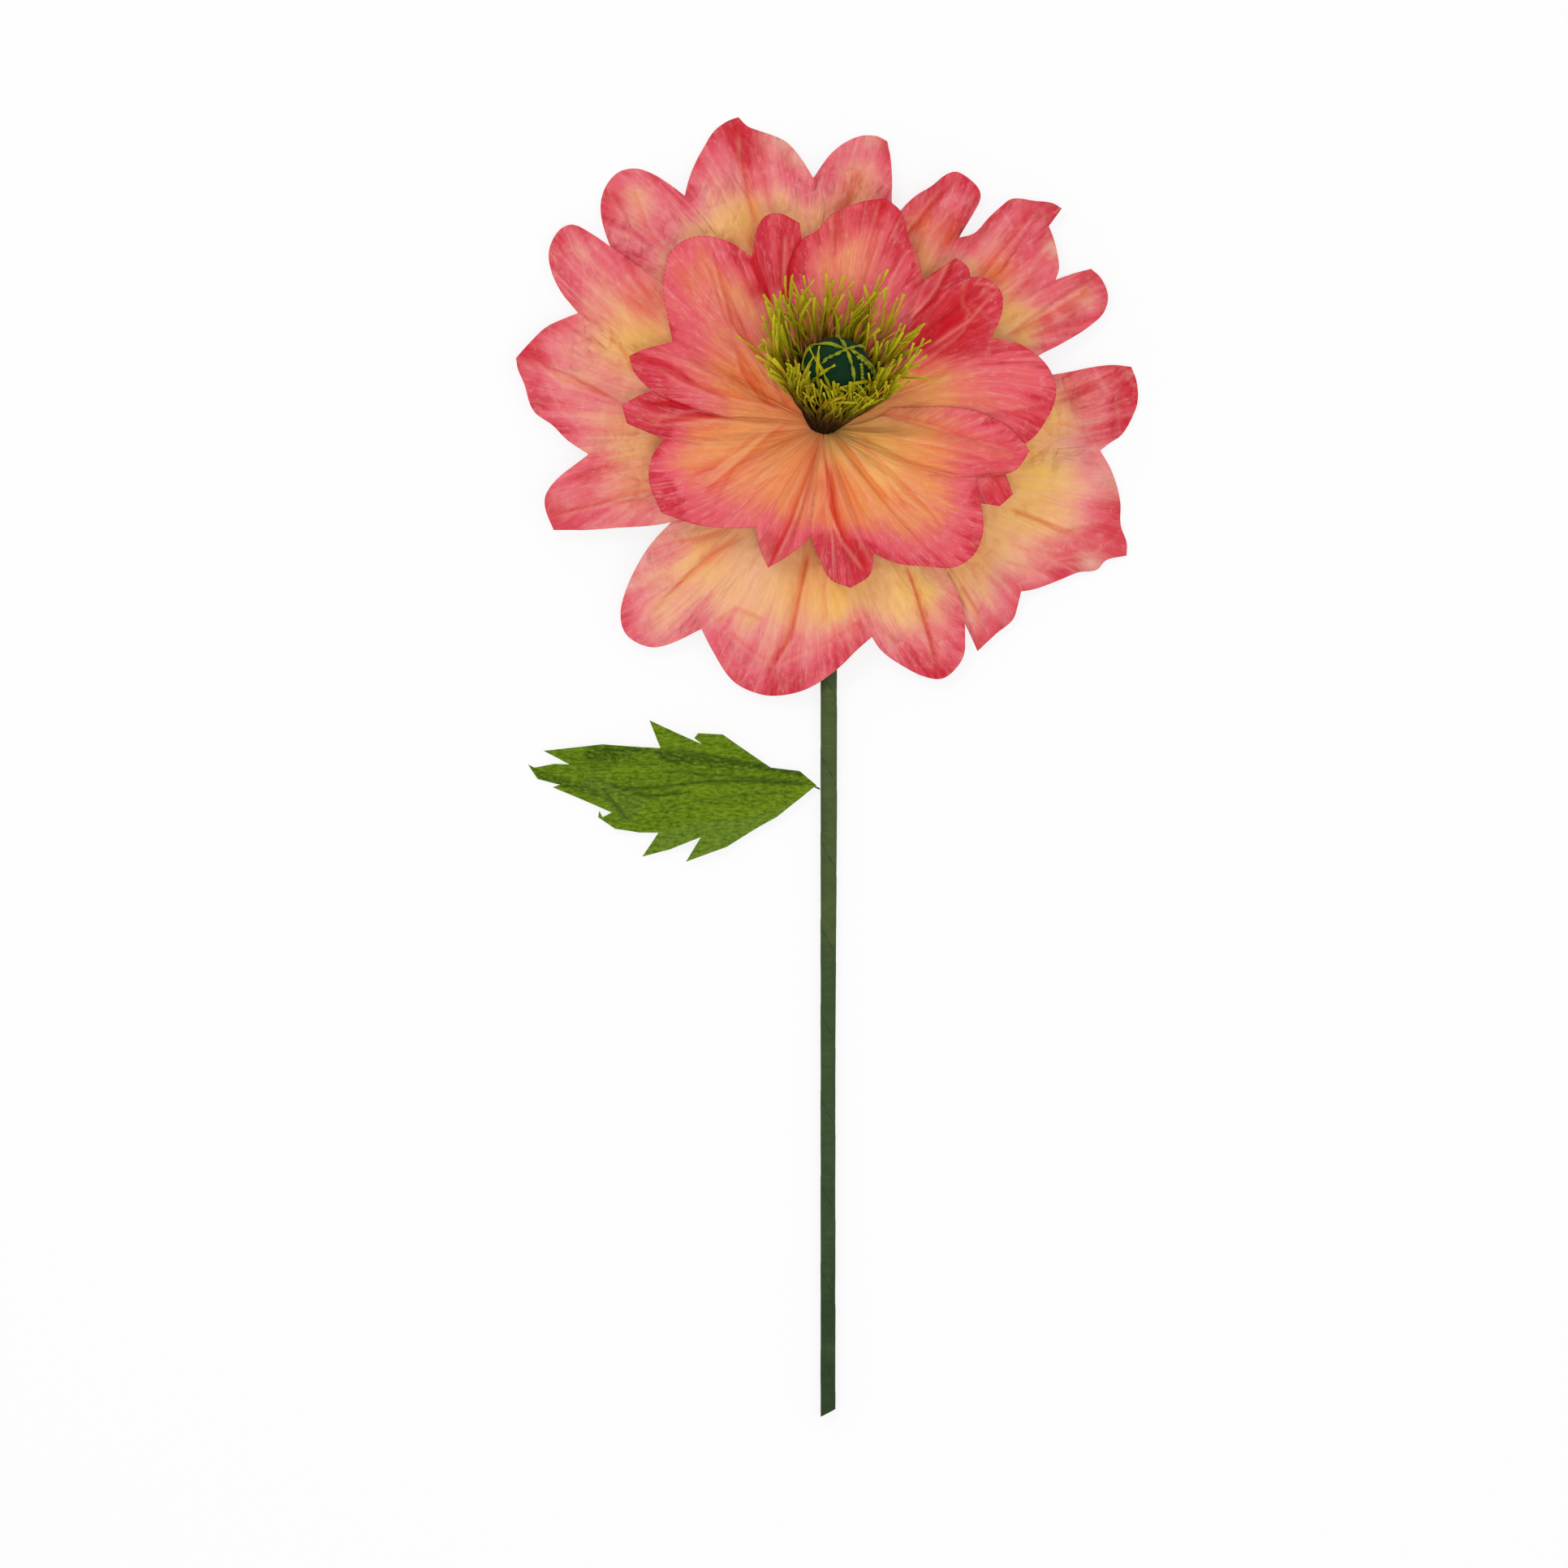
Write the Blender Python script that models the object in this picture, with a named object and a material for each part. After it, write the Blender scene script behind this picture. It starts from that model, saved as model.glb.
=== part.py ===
"""Paper poppy on a long wrapped stem, lying on its back with the flower facing up.

The floor is z = 0, the stem runs along Y with its cut end at -Y, and the flower head leans
from the stem towards +Y. Angles of the petals are in degrees about the throat, the point where
all petals meet, seen from above and counted from +X towards +Y.
"""

import math
import random

import bmesh
import bpy
from mathutils import Matrix, Vector

CLEARANCE = 0.0003
SAME = 1e-6

# Throat, where all petals meet, and lean of the flower head
THROAT = Vector((-0.0025, 0.2606, 0.044))
LEAN = 45.0
LEAN_AZIMUTH = 77.0

# Stem: a rod in a sleeve of wrapped paper, cut off at a slant
STEM_LENGTH = 0.7089
STEM_X = 0.0008
STEM_TO_THROAT = 0.0486
STEM_CUT_RISE = 0.0062
WRAP_RADIUS = 0.0059
WRAP_THICKNESS = 0.0005
WRAP_LAP = 0.0002
WRAP_LAPS = (0.033, 0.313, 0.346)
SOCKET_DEPTH = 0.024
STEM_SIDES = 16

# Neck wire, from the socket in the rod up to the seed head
WIRE_RADIUS = 0.0025
NECK_START = 0.004
NECK_STRAIGHT = 0.026
NECK_PULL = 0.45
NECK_STEPS = 6
WIRE_SIDES = 8

# Seed head: a ball under a paper cover, with strips crossed over its top
STALK_LENGTH = 0.060
BALL_RADIUS = 0.0274
BALL_RINGS = 8
BALL_HOLE_DEPTH = 0.014
COVER_THICKNESS = 0.0007
COVER_MOUTH = 0.0020
RAY_WIDTH = 0.0028
RAY_THICKNESS = 0.0012
RAY_STEPS = 4
HUB_RADIUS = 0.0038
HUB_OFFSET = (0.0062, 0.0160)
RAY_ENDS = ((-0.0222, 0.0145), (0.0016, 0.0262), (0.0205, 0.0165), (0.0116, -0.0072),
            (-0.0108, 0.0062))

# Stamens: cut fringe strips rolled round the wire
STRIP_COUNTS = (16, 22, 28)
STRIP_THICKNESS = 0.0015
STRIP_HEIGHT = 0.014
STAMEN_START_SPREAD = (27.0, 28.0, 29.0)
STAMEN_SPREAD = (28.0, 33.0, 38.0)
STAMEN_LENGTH = (0.098, 0.108, 0.112)
STAMEN_WIDTH = 0.0022
STAMEN_TIP = 0.6
STAMEN_VARIATION = 0.10
STAMEN_SWAY = 0.5
STAMEN_STEPS = 3
STAMEN_SEED = 40

# Petal sheets: the reach of the longest lobe of each ring from the throat, and their gathered claws
OUTER_LENGTH = 0.252
INNER_LENGTH = 0.182
PAPER = 0.0005
CLAW_LENGTH = 0.016
CLAW_PLEAT = 0.0003
CLAW_PLEATS = 2
CLAW_GAP = 3.5
CLAW_SPACE = 0.0016
OUTER_CLAW_DROP = 0.007
FLARE = 0.022
FLARE_ROWS = 4
PETAL_ROWS = 5
FAN_POWER = 1.6
LEVEL_STEP = 0.0026
FOLD_STEP = 0.001
FOLD_RUN = 0.85
PLAIN_START = 0.4
PLAIN_END = 1.4

# Height of the outer ring of petals above the floor, with the tent that it makes over the stem
OUTER_ROOT_Z = 0.031
OUTER_TIP_Z = 0.0034
OUTER_REACH = 0.245
OUTER_POWER = 1.4
STEM_TENT = 0.009
STEM_TENT_WIDTH = 0.030
STEM_TENT_START = 0.05
STEM_TENT_FULL = 0.13

# Each sheet arches over the edge of its claw by these shares of the claw's height
OUTER_ARCH = 1.35
INNER_ARCH = 0.9
ARCH_WIDTH = 0.016

# Height of the inner bowl of petals
INNER_ROOT_Z = 0.040
UPPER_RISE = 0.014
UPPER_REACH = 0.180
UPPER_POWER = 2.0
SIDE_RISE = 0.027
SIDE_REACH = 0.160
SIDE_POWER = 0.8
LOWER_ARCH = 0.036
LOWER_REACH = 0.125
LOWER_DROOP = 0.93
LOWER_POWER = 0.7
LOWER_END = 1.05

# Tape round the petal bases
TAPE_THICKNESS = 0.0008
TAPE_SIDES = 16
TAPE_DROP = 0.006

# Leaf and its wire
LEAF_LENGTH = 0.222
LEAF_Y = -0.0140
LEAF_STALK = 0.0030
LEAF_BASE_Z = 0.0072
LEAF_TIP_Z = 0.0030
LEAF_RIB = 0.004
LEAF_FOLD = 0.10
LEAF_LOWER_FOLD = 0.025
LEAF_RIPPLE = 0.0012
LEAF_RIPPLE_LENGTH = 0.069
LEAF_RIPPLE_START = 0.010
LEAF_RIPPLE_FULL = 0.030
LEAF_PAPER = 0.0005
LEAF_CELL = 0.016
LEAF_CUTS = (-0.012, LEAF_RIB, 0.016)
LEAF_WIRE_RADIUS = 0.0008
LEAF_WIRE_LENGTH = 0.090
LEAF_WIRE_START = 0.006
LEAF_WIRE_FOOT = 0.003
LEAF_WIRE_GAP = 0.00046
LEAF_WIRE_STEPS = 10
LEAF_WIRE_SIDES = 6

# Each petal sheet is cut with three lobes and gathered at its base. rim runs round its free edge
# as (angle in degrees, reach as a share of the ring's length); base is its part of the gathered
# ring; level is its place in the overlaps; folds are (angle, height in fold steps, width in
# degrees) along its length; flat is the share of the sheet at either side that lies plain.
OUTER_SHEETS = {
    "outer_petal_1": dict(
        base=(71, 140), level=0, flat=(0.12, 0.14),
        rim=((64, 0.373), (70.7, 0.6944), (76.2, 0.8571), (80.4, 0.9048), (87.7, 0.8452),
             (92.2, 0.7619), (95.3, 0.8214), (99.5, 0.8968), (102.5, 0.9286), (104.7, 0.9802),
             (110.1, 0.9643), (116.1, 0.8889), (120.9, 0.8175), (122.5, 0.8849), (126, 0.9762),
             (128.7, 0.996), (135.2, 0.9563), (139.7, 0.8492), (145, 0.6944), (149, 0.4206)),
        folds=((80, -4, 5), (92, 4, 4), (105, -6, 6), (120, 5, 4), (129, -3, 5))),
    "outer_petal_2": dict(
        base=(16, 71), level=1, flat=(0.1, 0.12),
        rim=((11, 0.3968), (15, 0.5952), (18.7, 0.6865), (22.4, 0.9206), (24.8, 0.9563), (28.5, 0.9484),
             (30.6, 0.9405), (32.6, 0.8373), (35.2, 0.877), (39.3, 0.9087), (42.1, 0.9246),
             (43, 0.9881), (46.3, 0.9484), (50.7, 0.8968), (53.3, 0.7222), (54.2, 0.8135),
             (60.3, 0.873), (66, 0.7976), (70.7, 0.6944), (77, 0.4206)),
        folds=((27, 5, 4), (32, -4, 3), (41, 6, 5), (53, -5, 3), (60, 4, 5))),
    "outer_petal_3": dict(
        base=(-52, 16), level=-1, flat=(0.14, 0.1),
        rim=((-55.4, 0.8254), (-45.2, 0.8175), (-39.8, 0.7817), (-32.8, 0.8532), (-28.1, 0.9405),
             (-22.5, 1), (-13.8, 0.9325), (-8.5, 0.8889), (-4.3, 0.8452), (-1.3, 0.9087), (4.9, 0.9603),
             (11.2, 0.9524), (12.6, 0.8175), (13, 0.7143), (17, 0.373)),
        folds=((-48, 3, 4), (-39, -4, 4), (-23, 6, 6), (-12, 4, 4), (-4, -5, 3), (6, 5, 5))),
    "outer_petal_4": dict(
        base=(-148, -52), level=1, flat=(0.08, 0.08),
        rim=((-155, 0.3452), (-148.2, 0.5437), (-140.7, 0.7778), (-135.7, 0.8571), (-129.3, 0.8571),
             (-125.6, 0.8056), (-121.3, 0.7143), (-116.7, 0.754), (-109.7, 0.8175), (-100.8, 0.8294),
             (-94, 0.7976), (-87, 0.7381), (-81, 0.6746), (-76.9, 0.6508), (-70.8, 0.7738),
             (-65.3, 0.8413), (-60, 0.8254), (-56.3, 0.7778), (-51.9, 0.6825), (-46, 0.373)),
        folds=((-133, 4, 6), (-121, -5, 4), (-106, 5, 6), (-90, -2, 5), (-77, -4, 4), (-66, 5, 5))),
    "outer_petal_5": dict(
        base=(140, 212), level=1.9, flat=(0.14, 0.08),
        rim=((134, 0.373), (139.7, 0.8492), (140.5, 0.9365), (144, 0.996), (147.4, 0.9921),
             (149.9, 0.9563), (154.7, 0.8254), (158, 0.869), (163.3, 0.9246), (167.4, 0.9603),
             (171.5, 0.9206), (176.9, 0.881), (182.5, 0.7857), (186.7, 0.7143), (191, 0.8254),
             (194.6, 0.877), (200.5, 0.877), (205.9, 0.6944), (211.8, 0.5437), (216, 0.3214)),
        folds=((146, 3, 4), (155, -5, 4), (167, 5, 5), (178, 3, 4), (186, -5, 4), (198, 4, 5))),
}
INNER_SHEETS = {
    "inner_petal_1": dict(
        base=(98, 168), level=-0.6, flat=(0.3, 0.12),
        rim=((90, 0.3791), (96.5, 0.7857), (96.8, 0.8681), (102, 0.9231), (105.5, 0.9231),
             (108.2, 0.8901), (112.9, 0.7802), (117.4, 0.8846), (123.7, 0.967), (130.5, 0.9835),
             (137.9, 0.9121), (145.8, 0.7912), (150.5, 0.7308), (156.9, 0.8297), (160, 0.8736),
             (164, 0.8297), (168.5, 0.7198), (174, 0.4121)),
        folds=((112, -4, 4), (130, 5, 8), (148, -5, 4), (160, 3, 4))),
    "inner_petal_2": dict(
        base=(168, 263), level=-1.6, flat=(0.12, 0.08),
        rim=((163, 0.3791), (168, 0.7363), (173.7, 0.8571), (179, 0.8297), (184.3, 0.6758),
             (190, 0.7363), (196.6, 0.7692), (207.8, 0.7747), (218, 0.6703), (229.6, 0.5604),
             (235.6, 0.511), (242, 0.5769), (248.4, 0.6374), (255.6, 0.5495), (263.5, 0.456),
             (268, 0.3077)),
        folds=((174, 4, 4), (183, -5, 4), (205, 5, 8), (220, 3, 6), (235, -4, 4), (249, 6, 5))),
    "inner_petal_3": dict(
        base=(-97, 2), level=0, flat=(0.08, 0.1),
        rim=((-98, 0.2912), (-96.5, 0.456), (-91.5, 0.5659), (-87.3, 0.6429), (-80.5, 0.6868),
             (-72.4, 0.6484), (-68.6, 0.5714), (-62, 0.6484), (-53.4, 0.7308), (-47, 0.8077),
             (-40.5, 0.8297), (-34, 0.8077), (-28.8, 0.7637), (-18.2, 0.6758), (-12.9, 0.8242),
             (-6.7, 0.8736), (-3.5, 0.8297), (1.3, 0.7527), (7.2, 0.6044), (15.8, 0.3022)),
        folds=((-80, 4, 5), (-69, -5, 4), (-54, 4, 5), (-40, 5, 6), (-27, 3, 4), (-18, -3, 4),
               (-7, 4, 5))),
    "inner_petal_4": dict(
        base=(2, 50), level=-1.6, flat=(0.38, 0.1),
        rim=((-34, 0.3791), (-26.5, 0.7033), (-24.2, 0.8132), (-19.5, 0.8462), (-14.3, 0.7857),
             (-9, 0.7033), (-4.1, 0.8626), (1.5, 0.9341), (8.4, 0.989), (14.9, 0.978), (22.6, 0.9011),
             (28.1, 0.8022), (33, 0.8956), (37.5, 0.9396), (43, 0.9231), (46.5, 0.8571), (49, 0.6868),
             (54, 0.3791)),
        folds=((12, 5, 8), (28, -5, 4), (38, 5, 5))),
    "inner_petal_5": dict(
        base=(50, 98), level=0.4, flat=(0.14, 0.14),
        rim=((38, 0.3791), (44.4, 0.8681), (47.9, 0.9066), (52, 0.9066), (56.2, 0.7473), (60.6, 0.8132),
             (65.6, 0.8681), (70, 0.9615), (74.9, 1), (80.7, 0.9615), (88, 0.8956), (92, 0.8297),
             (96.5, 0.7967), (102, 0.6868), (107, 0.3791)),
        folds=((49, 4, 4), (57, -4, 5), (75, 4, 8), (86, -2, 3))),
}

# Leaf outline with its cut teeth, from the wire round the upper edge and back, as (distance from
# the base, offset towards the flower) in shares of the leaf's length
LEAF_OUTLINE = (
    (0, 0), (0.0586, 0.0495), (0.1577, 0.0608), (0.3243, 0.1757), (0.4099, 0.1802), (0.4234, 0.1631),
    (0.3964, 0.1419), (0.5788, 0.2252), (0.5405, 0.1284), (0.7432, 0.1419), (0.9459, 0.1194),
    (0.8559, 0.0721), (0.9077, 0.0743), (0.9775, 0.0608), (1, 0.0721), (0.9662, 0.0212),
    (0.8896, 0.0014), (0.9144, -0.0072), (0.7095, -0.0946), (0.741, -0.1108), (0.7523, -0.0883),
    (0.7568, -0.1108), (0.6982, -0.1509), (0.6126, -0.1644), (0.5473, -0.1644), (0.6036, -0.2477),
    (0.509, -0.223), (0.4009, -0.1802), (0.4527, -0.2658), (0.3108, -0.214), (0.2027, -0.1464),
    (0.1374, -0.1104), (0.0495, -0.0405))

COLOURS = {
    "inner_paper": (0.86, 0.25, 0.17),
    "outer_paper": (0.84, 0.30, 0.22),
    "stem_paper": (0.046, 0.085, 0.033),
    "leaf_paper": (0.13, 0.26, 0.03),
    "ball_paper": (0.008, 0.045, 0.025),
    "ray_paper": (0.22, 0.24, 0.03),
    "stamen_paper": (0.34, 0.32, 0.02),
    "rod": (0.45, 0.33, 0.20),
    "wire": (0.30, 0.31, 0.30),
    "foam": (0.75, 0.75, 0.72),
}


def clear_scene():
    for thing in list(bpy.data.objects):
        bpy.data.objects.remove(thing, do_unlink=True)


def material(name):
    """The material of one kind of paper, rod or wire."""
    found = bpy.data.materials.get(name)
    if found:
        return found
    made = bpy.data.materials.new(name)
    made.use_nodes = True
    shader = made.node_tree.nodes["Principled BSDF"]
    shader.inputs["Base Color"].default_value = (*COLOURS[name], 1.0)
    shader.inputs["Roughness"].default_value = 0.35 if name == "wire" else 0.8
    shader.inputs["Metallic"].default_value = 1.0 if name == "wire" else 0.0
    made.diffuse_color = (*COLOURS[name], 1.0)
    return made


def add_object(name, bm, kind):
    """An object of the bmesh, with its faces turned out."""
    bmesh.ops.recalc_face_normals(bm, faces=bm.faces[:])
    if bm.calc_volume(signed=True) < 0.0:
        bmesh.ops.reverse_faces(bm, faces=bm.faces[:])
    mesh = bpy.data.meshes.new(name)
    bm.to_mesh(mesh)
    bm.free()
    made = bpy.data.objects.new(name, mesh)
    made.data.materials.append(material(kind))
    bpy.context.scene.collection.objects.link(made)
    return made


def mix(a, b, t):
    return a * (1.0 - t) + b * t


def smooth(low, high, value):
    t = min(max((value - low) / (high - low), 0.0), 1.0)
    return t * t * (3.0 - 2.0 * t)


def head_axes():
    """Across, up and along the axis of the flower head."""
    lean, azimuth = math.radians(LEAN), math.radians(LEAN_AZIMUTH)
    along = Vector((math.sin(lean) * math.cos(azimuth), math.sin(lean) * math.sin(azimuth),
                    math.cos(lean)))
    across = Vector((0, 1, 0)).cross(along).normalized()
    up = along.cross(across).normalized()
    return across, up, along


ACROSS, UP, AXIS = head_axes()
STEM_TOP_Y = THROAT.y - STEM_TO_THROAT
STEM_END_Y = STEM_TOP_Y - STEM_LENGTH
BALL_CENTRE = THROAT + AXIS * STALK_LENGTH
HEAD_FRAME = Matrix((ACROSS, UP, AXIS)).transposed()
STRIP_RADII = tuple(WIRE_RADIUS + CLEARANCE + i * (STRIP_THICKNESS + CLEARANCE)
                    for i in range(len(STRIP_COUNTS)))
BUNDLE_RADIUS = STRIP_RADII[-1] + STRIP_THICKNESS
INNER_CLAW_RADIUS = BUNDLE_RADIUS + CLEARANCE + CLAW_PLEAT + PAPER / 2
OUTER_CLAW_RADIUS = INNER_CLAW_RADIUS + CLAW_SPACE
TAPE_RADIUS = OUTER_CLAW_RADIUS + PAPER / 2 + CLAW_PLEAT + CLEARANCE
LEAF_BASE = Vector((STEM_X - WRAP_RADIUS - LEAF_STALK, LEAF_Y, LEAF_BASE_Z))


def ring_direction(angle):
    return ACROSS * math.cos(angle) + UP * math.sin(angle)


def turned(profile, sides, place):
    """A closed solid turned from a closed profile of (radius, height), moved by place."""
    bm = bmesh.new()
    circle = [(math.cos(2 * math.pi * i / sides), math.sin(2 * math.pi * i / sides))
              for i in range(sides)]
    rings = []
    for radius, height in profile:
        spots = [(radius * x, radius * y, height) for x, y in circle] if radius else [(0, 0, height)]
        rings.append([bm.verts.new(place @ Vector(spot)) for spot in spots])
    for first, second in zip(rings, rings[1:] + rings[:1]):
        if len(first) == len(second) == 1:
            continue
        for i in range(sides):
            j = (i + 1) % sides
            corners = [first[i % len(first)], first[j % len(first)],
                       second[j % len(second)], second[i % len(second)]]
            bm.faces.new(list(dict.fromkeys(corners)))
    return bm


def outer_height(x, y, reach):
    """Height of the outer ring of petals: a low dome that passes over the stem."""
    fall = (reach / OUTER_REACH) ** OUTER_POWER
    z = OUTER_TIP_Z + (OUTER_ROOT_Z - OUTER_TIP_Z) * (1.0 - fall)
    over_stem = math.exp(-(((x - STEM_X) / STEM_TENT_WIDTH) ** 2))
    return z + STEM_TENT * over_stem * smooth(STEM_TENT_START, STEM_TENT_FULL, THROAT.y - y)


def inner_height(angle, reach):
    """Height of the inner bowl: nearly flat above the throat, arched and drooping below it."""
    down = (1.0 - math.sin(angle)) / 2.0
    upper = UPPER_RISE * (reach / UPPER_REACH) ** UPPER_POWER
    side = SIDE_RISE * (reach / SIDE_REACH) ** SIDE_POWER
    run = min(reach / LOWER_REACH, LOWER_END) ** LOWER_POWER
    lower = LOWER_ARCH * math.sin(math.pi * LOWER_DROOP * run)
    share_side = 1.0 - abs(2.0 * down - 1.0)
    share_upper = max(1.0 - 2.0 * down, 0.0)
    share_lower = max(2.0 * down - 1.0, 0.0)
    return INNER_ROOT_Z + share_upper * upper + share_side * side + share_lower * lower


def rim_shares(rim):
    """Place of each rim point along the sheet's free edge, from 0 to 1."""
    points = [Vector((r * math.cos(math.radians(a)), r * math.sin(math.radians(a)))) for a, r in rim]
    steps = [(b - a).length for a, b in zip(points, points[1:])]
    turns = [b[0] - a[0] for a, b in zip(rim, rim[1:])]
    shares = [0.0]
    for step, turn in zip(steps, turns):
        shares.append(shares[-1] + (step / sum(steps) + turn / sum(turns)) / 2)
    return shares


def sheet_point(sheet, inner, share, rim_angle, rim_reach, row):
    """Middle of the sheet at one row of a fibre.

    Rows run from -1 at the end of the gathered claw to 0 where the claw flares, on to 1 where the
    flare ends, and to 2 at the rim.
    """
    low, high = sheet["base"]
    base = math.radians(mix(low + CLAW_GAP, high - CLAW_GAP, share))
    radius = INNER_CLAW_RADIUS if inner else OUTER_CLAW_RADIUS
    centre = THROAT if inner else THROAT - AXIS * OUTER_CLAW_DROP
    pleat = CLAW_PLEAT * math.cos(2 * math.pi * CLAW_PLEATS * share)
    outward = ring_direction(base)
    ring = centre + outward * (radius + pleat)
    if row <= 0.0:
        return ring + AXIS * (CLAW_LENGTH * row)
    reach = radius + FLARE * row if row < 1.0 else mix(radius + FLARE, rim_reach, row - 1.0)
    s = (reach - radius) / (rim_reach - radius)
    angle = mix(base, math.radians(rim_angle), s ** FAN_POWER)
    x, y = THROAT.x + reach * math.cos(angle), THROAT.y + reach * math.sin(angle)
    z = inner_height(angle, reach) if inner else outer_height(x, y, reach)
    flared = smooth(radius, radius + FLARE, reach)
    root, arch = (INNER_ROOT_Z, INNER_ARCH) if inner else (OUTER_ROOT_Z, OUTER_ARCH)
    z += arch * max(ring.z - root, 0.0) * math.exp(-((reach - radius) / ARCH_WIDTH) ** 2)
    z += sheet["level"] * LEVEL_STEP * flared
    free = flared * math.sin(math.pi * FOLD_RUN * s)
    for plain, inward in zip(sheet["flat"], (share, 1.0 - share)):
        free *= smooth(PLAIN_START * plain, PLAIN_END * plain, inward)
    for fold_angle, fold_height, fold_width in sheet["folds"]:
        across = (math.degrees(angle) - fold_angle) / fold_width
        z += fold_height * FOLD_STEP * math.exp(-across * across) * free
    return ring.lerp(Vector((x, y, z)), flared)


def face_normal(grid, i, j):
    """The way the sheet's face looks at one point of its grid of columns and rows."""
    here = grid[i][j]
    along = Vector()
    for near in (max(j - 1, 0), min(j + 1, len(grid[i]) - 1)):
        along += (grid[i][near] - here).normalized() * (near - j)
    across = grid[min(i + 1, len(grid) - 1)][j] - grid[max(i - 1, 0)][j]
    return along.cross(across).normalized()


def petal_sheet(name, sheet, inner):
    """One three-lobed sheet of paper with its gathered claw, as a thin closed solid."""
    bm = bmesh.new()
    length = INNER_LENGTH if inner else OUTER_LENGTH
    rows = [-1.0, *(i / FLARE_ROWS for i in range(FLARE_ROWS)),
            *(1.0 + i / PETAL_ROWS for i in range(PETAL_ROWS + 1))]
    grid = [[sheet_point(sheet, inner, share, angle, reach * length, row) for row in rows]
            for share, (angle, reach) in zip(rim_shares(sheet["rim"]), sheet["rim"])]
    columns = []
    for i, fibre in enumerate(grid):
        column = []
        for j, point in enumerate(fibre):
            half = face_normal(grid, i, j) * (PAPER / 2)
            column.append((bm.verts.new(point + half), bm.verts.new(point - half)))
        columns.append(column)
    for left, right in zip(columns, columns[1:]):
        for i in range(len(rows) - 1):
            for side in (0, 1):
                bm.faces.new((left[i][side], right[i][side], right[i + 1][side], left[i + 1][side]))
        for end in (0, -1):
            bm.faces.new((left[end][0], right[end][0], right[end][1], left[end][1]))
    for edge in (columns[0], columns[-1]):
        for i in range(len(rows) - 1):
            bm.faces.new((edge[i][0], edge[i + 1][0], edge[i + 1][1], edge[i][1]))
    bmesh.ops.triangulate(bm, faces=bm.faces[:])
    return add_object(name, bm, "inner_paper" if inner else "outer_paper")


def sweep(points, radii, sides, hollow=None):
    """A tube along the points, solid or with a bore of the given radii."""
    bm = bmesh.new()
    tangents = [(points[min(i + 1, len(points) - 1)] - points[max(i - 1, 0)]).normalized()
                for i in range(len(points))]
    skins = []
    for wall in (radii, hollow) if hollow else (radii,):
        rings = []
        for point, tangent, radius in zip(points, tangents, wall):
            side = (Vector((1, 0, 0)) - tangent * tangent.x).normalized()
            other = tangent.cross(side)
            rings.append([bm.verts.new(point + (side * math.cos(a) + other * math.sin(a)) * radius)
                          for a in (2 * math.pi * i / sides for i in range(sides))])
        skins.append(rings)
    for rings in skins:
        for first, second in zip(rings, rings[1:]):
            for i in range(sides):
                j = (i + 1) % sides
                bm.faces.new((first[i], first[j], second[j], second[i]))
    for end in (0, -1):
        if hollow:
            for i in range(sides):
                j = (i + 1) % sides
                outer, inner = skins[0][end], skins[1][end]
                bm.faces.new((outer[i], outer[j], inner[j], inner[i]))
        else:
            bm.faces.new(skins[0][end])
    return bm


def neck_path():
    """Middle line of the neck, from the stem's top to the point where it is straight."""
    start = Vector((STEM_X, STEM_TOP_Y + NECK_START, WRAP_RADIUS))
    end = THROAT - AXIS * NECK_STRAIGHT
    pull = (end - start).length * NECK_PULL
    corners = (start, start + Vector((0, pull, 0)), end - AXIS * pull, end)
    path = []
    for i in range(NECK_STEPS + 1):
        t = i / NECK_STEPS
        spot = Vector()
        for k, corner in enumerate(corners):
            spot += corner * (math.comb(3, k) * t ** k * (1.0 - t) ** (3 - k))
        path.append(spot)
    return path


def stem():
    """The rod with its socket, and the wrapped sleeve, both cut off at a slant."""
    rod_radius = WRAP_RADIUS - WRAP_THICKNESS - CLEARANCE
    socket_radius = WIRE_RADIUS + CLEARANCE
    place = Matrix.Translation((STEM_X, 0, WRAP_RADIUS)) @ Matrix.Rotation(-math.pi / 2, 4, "X")
    rod = turned([(0.0, STEM_END_Y), (rod_radius, STEM_END_Y), (rod_radius, STEM_TOP_Y),
                  (socket_radius, STEM_TOP_Y), (socket_radius, STEM_TOP_Y - SOCKET_DEPTH),
                  (0.0, STEM_TOP_Y - SOCKET_DEPTH)], STEM_SIDES, place)
    bore = rod_radius + CLEARANCE
    profile = [(bore, STEM_END_Y), (WRAP_RADIUS - WRAP_LAP, STEM_END_Y)]
    for i, lap in enumerate(WRAP_LAPS):
        before, after = (WRAP_LAP, 0.0) if i % 2 == 0 else (0.0, WRAP_LAP)
        profile += [(WRAP_RADIUS - before, STEM_END_Y + lap),
                    (WRAP_RADIUS - after, STEM_END_Y + lap + WRAP_LAP)]
    profile += [(profile[-1][0], STEM_TOP_Y), (bore, STEM_TOP_Y)]
    wrap = turned(profile, STEM_SIDES, place)
    for bm in (rod, wrap):
        for vert in bm.verts:
            if abs(vert.co.y - STEM_END_Y) < SAME:
                vert.co.y += (vert.co.x - STEM_X) / (2 * WRAP_RADIUS) * STEM_CUT_RISE
    add_object("stem_rod", rod, "rod")
    add_object("stem_wrap", wrap, "stem_paper")


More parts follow.
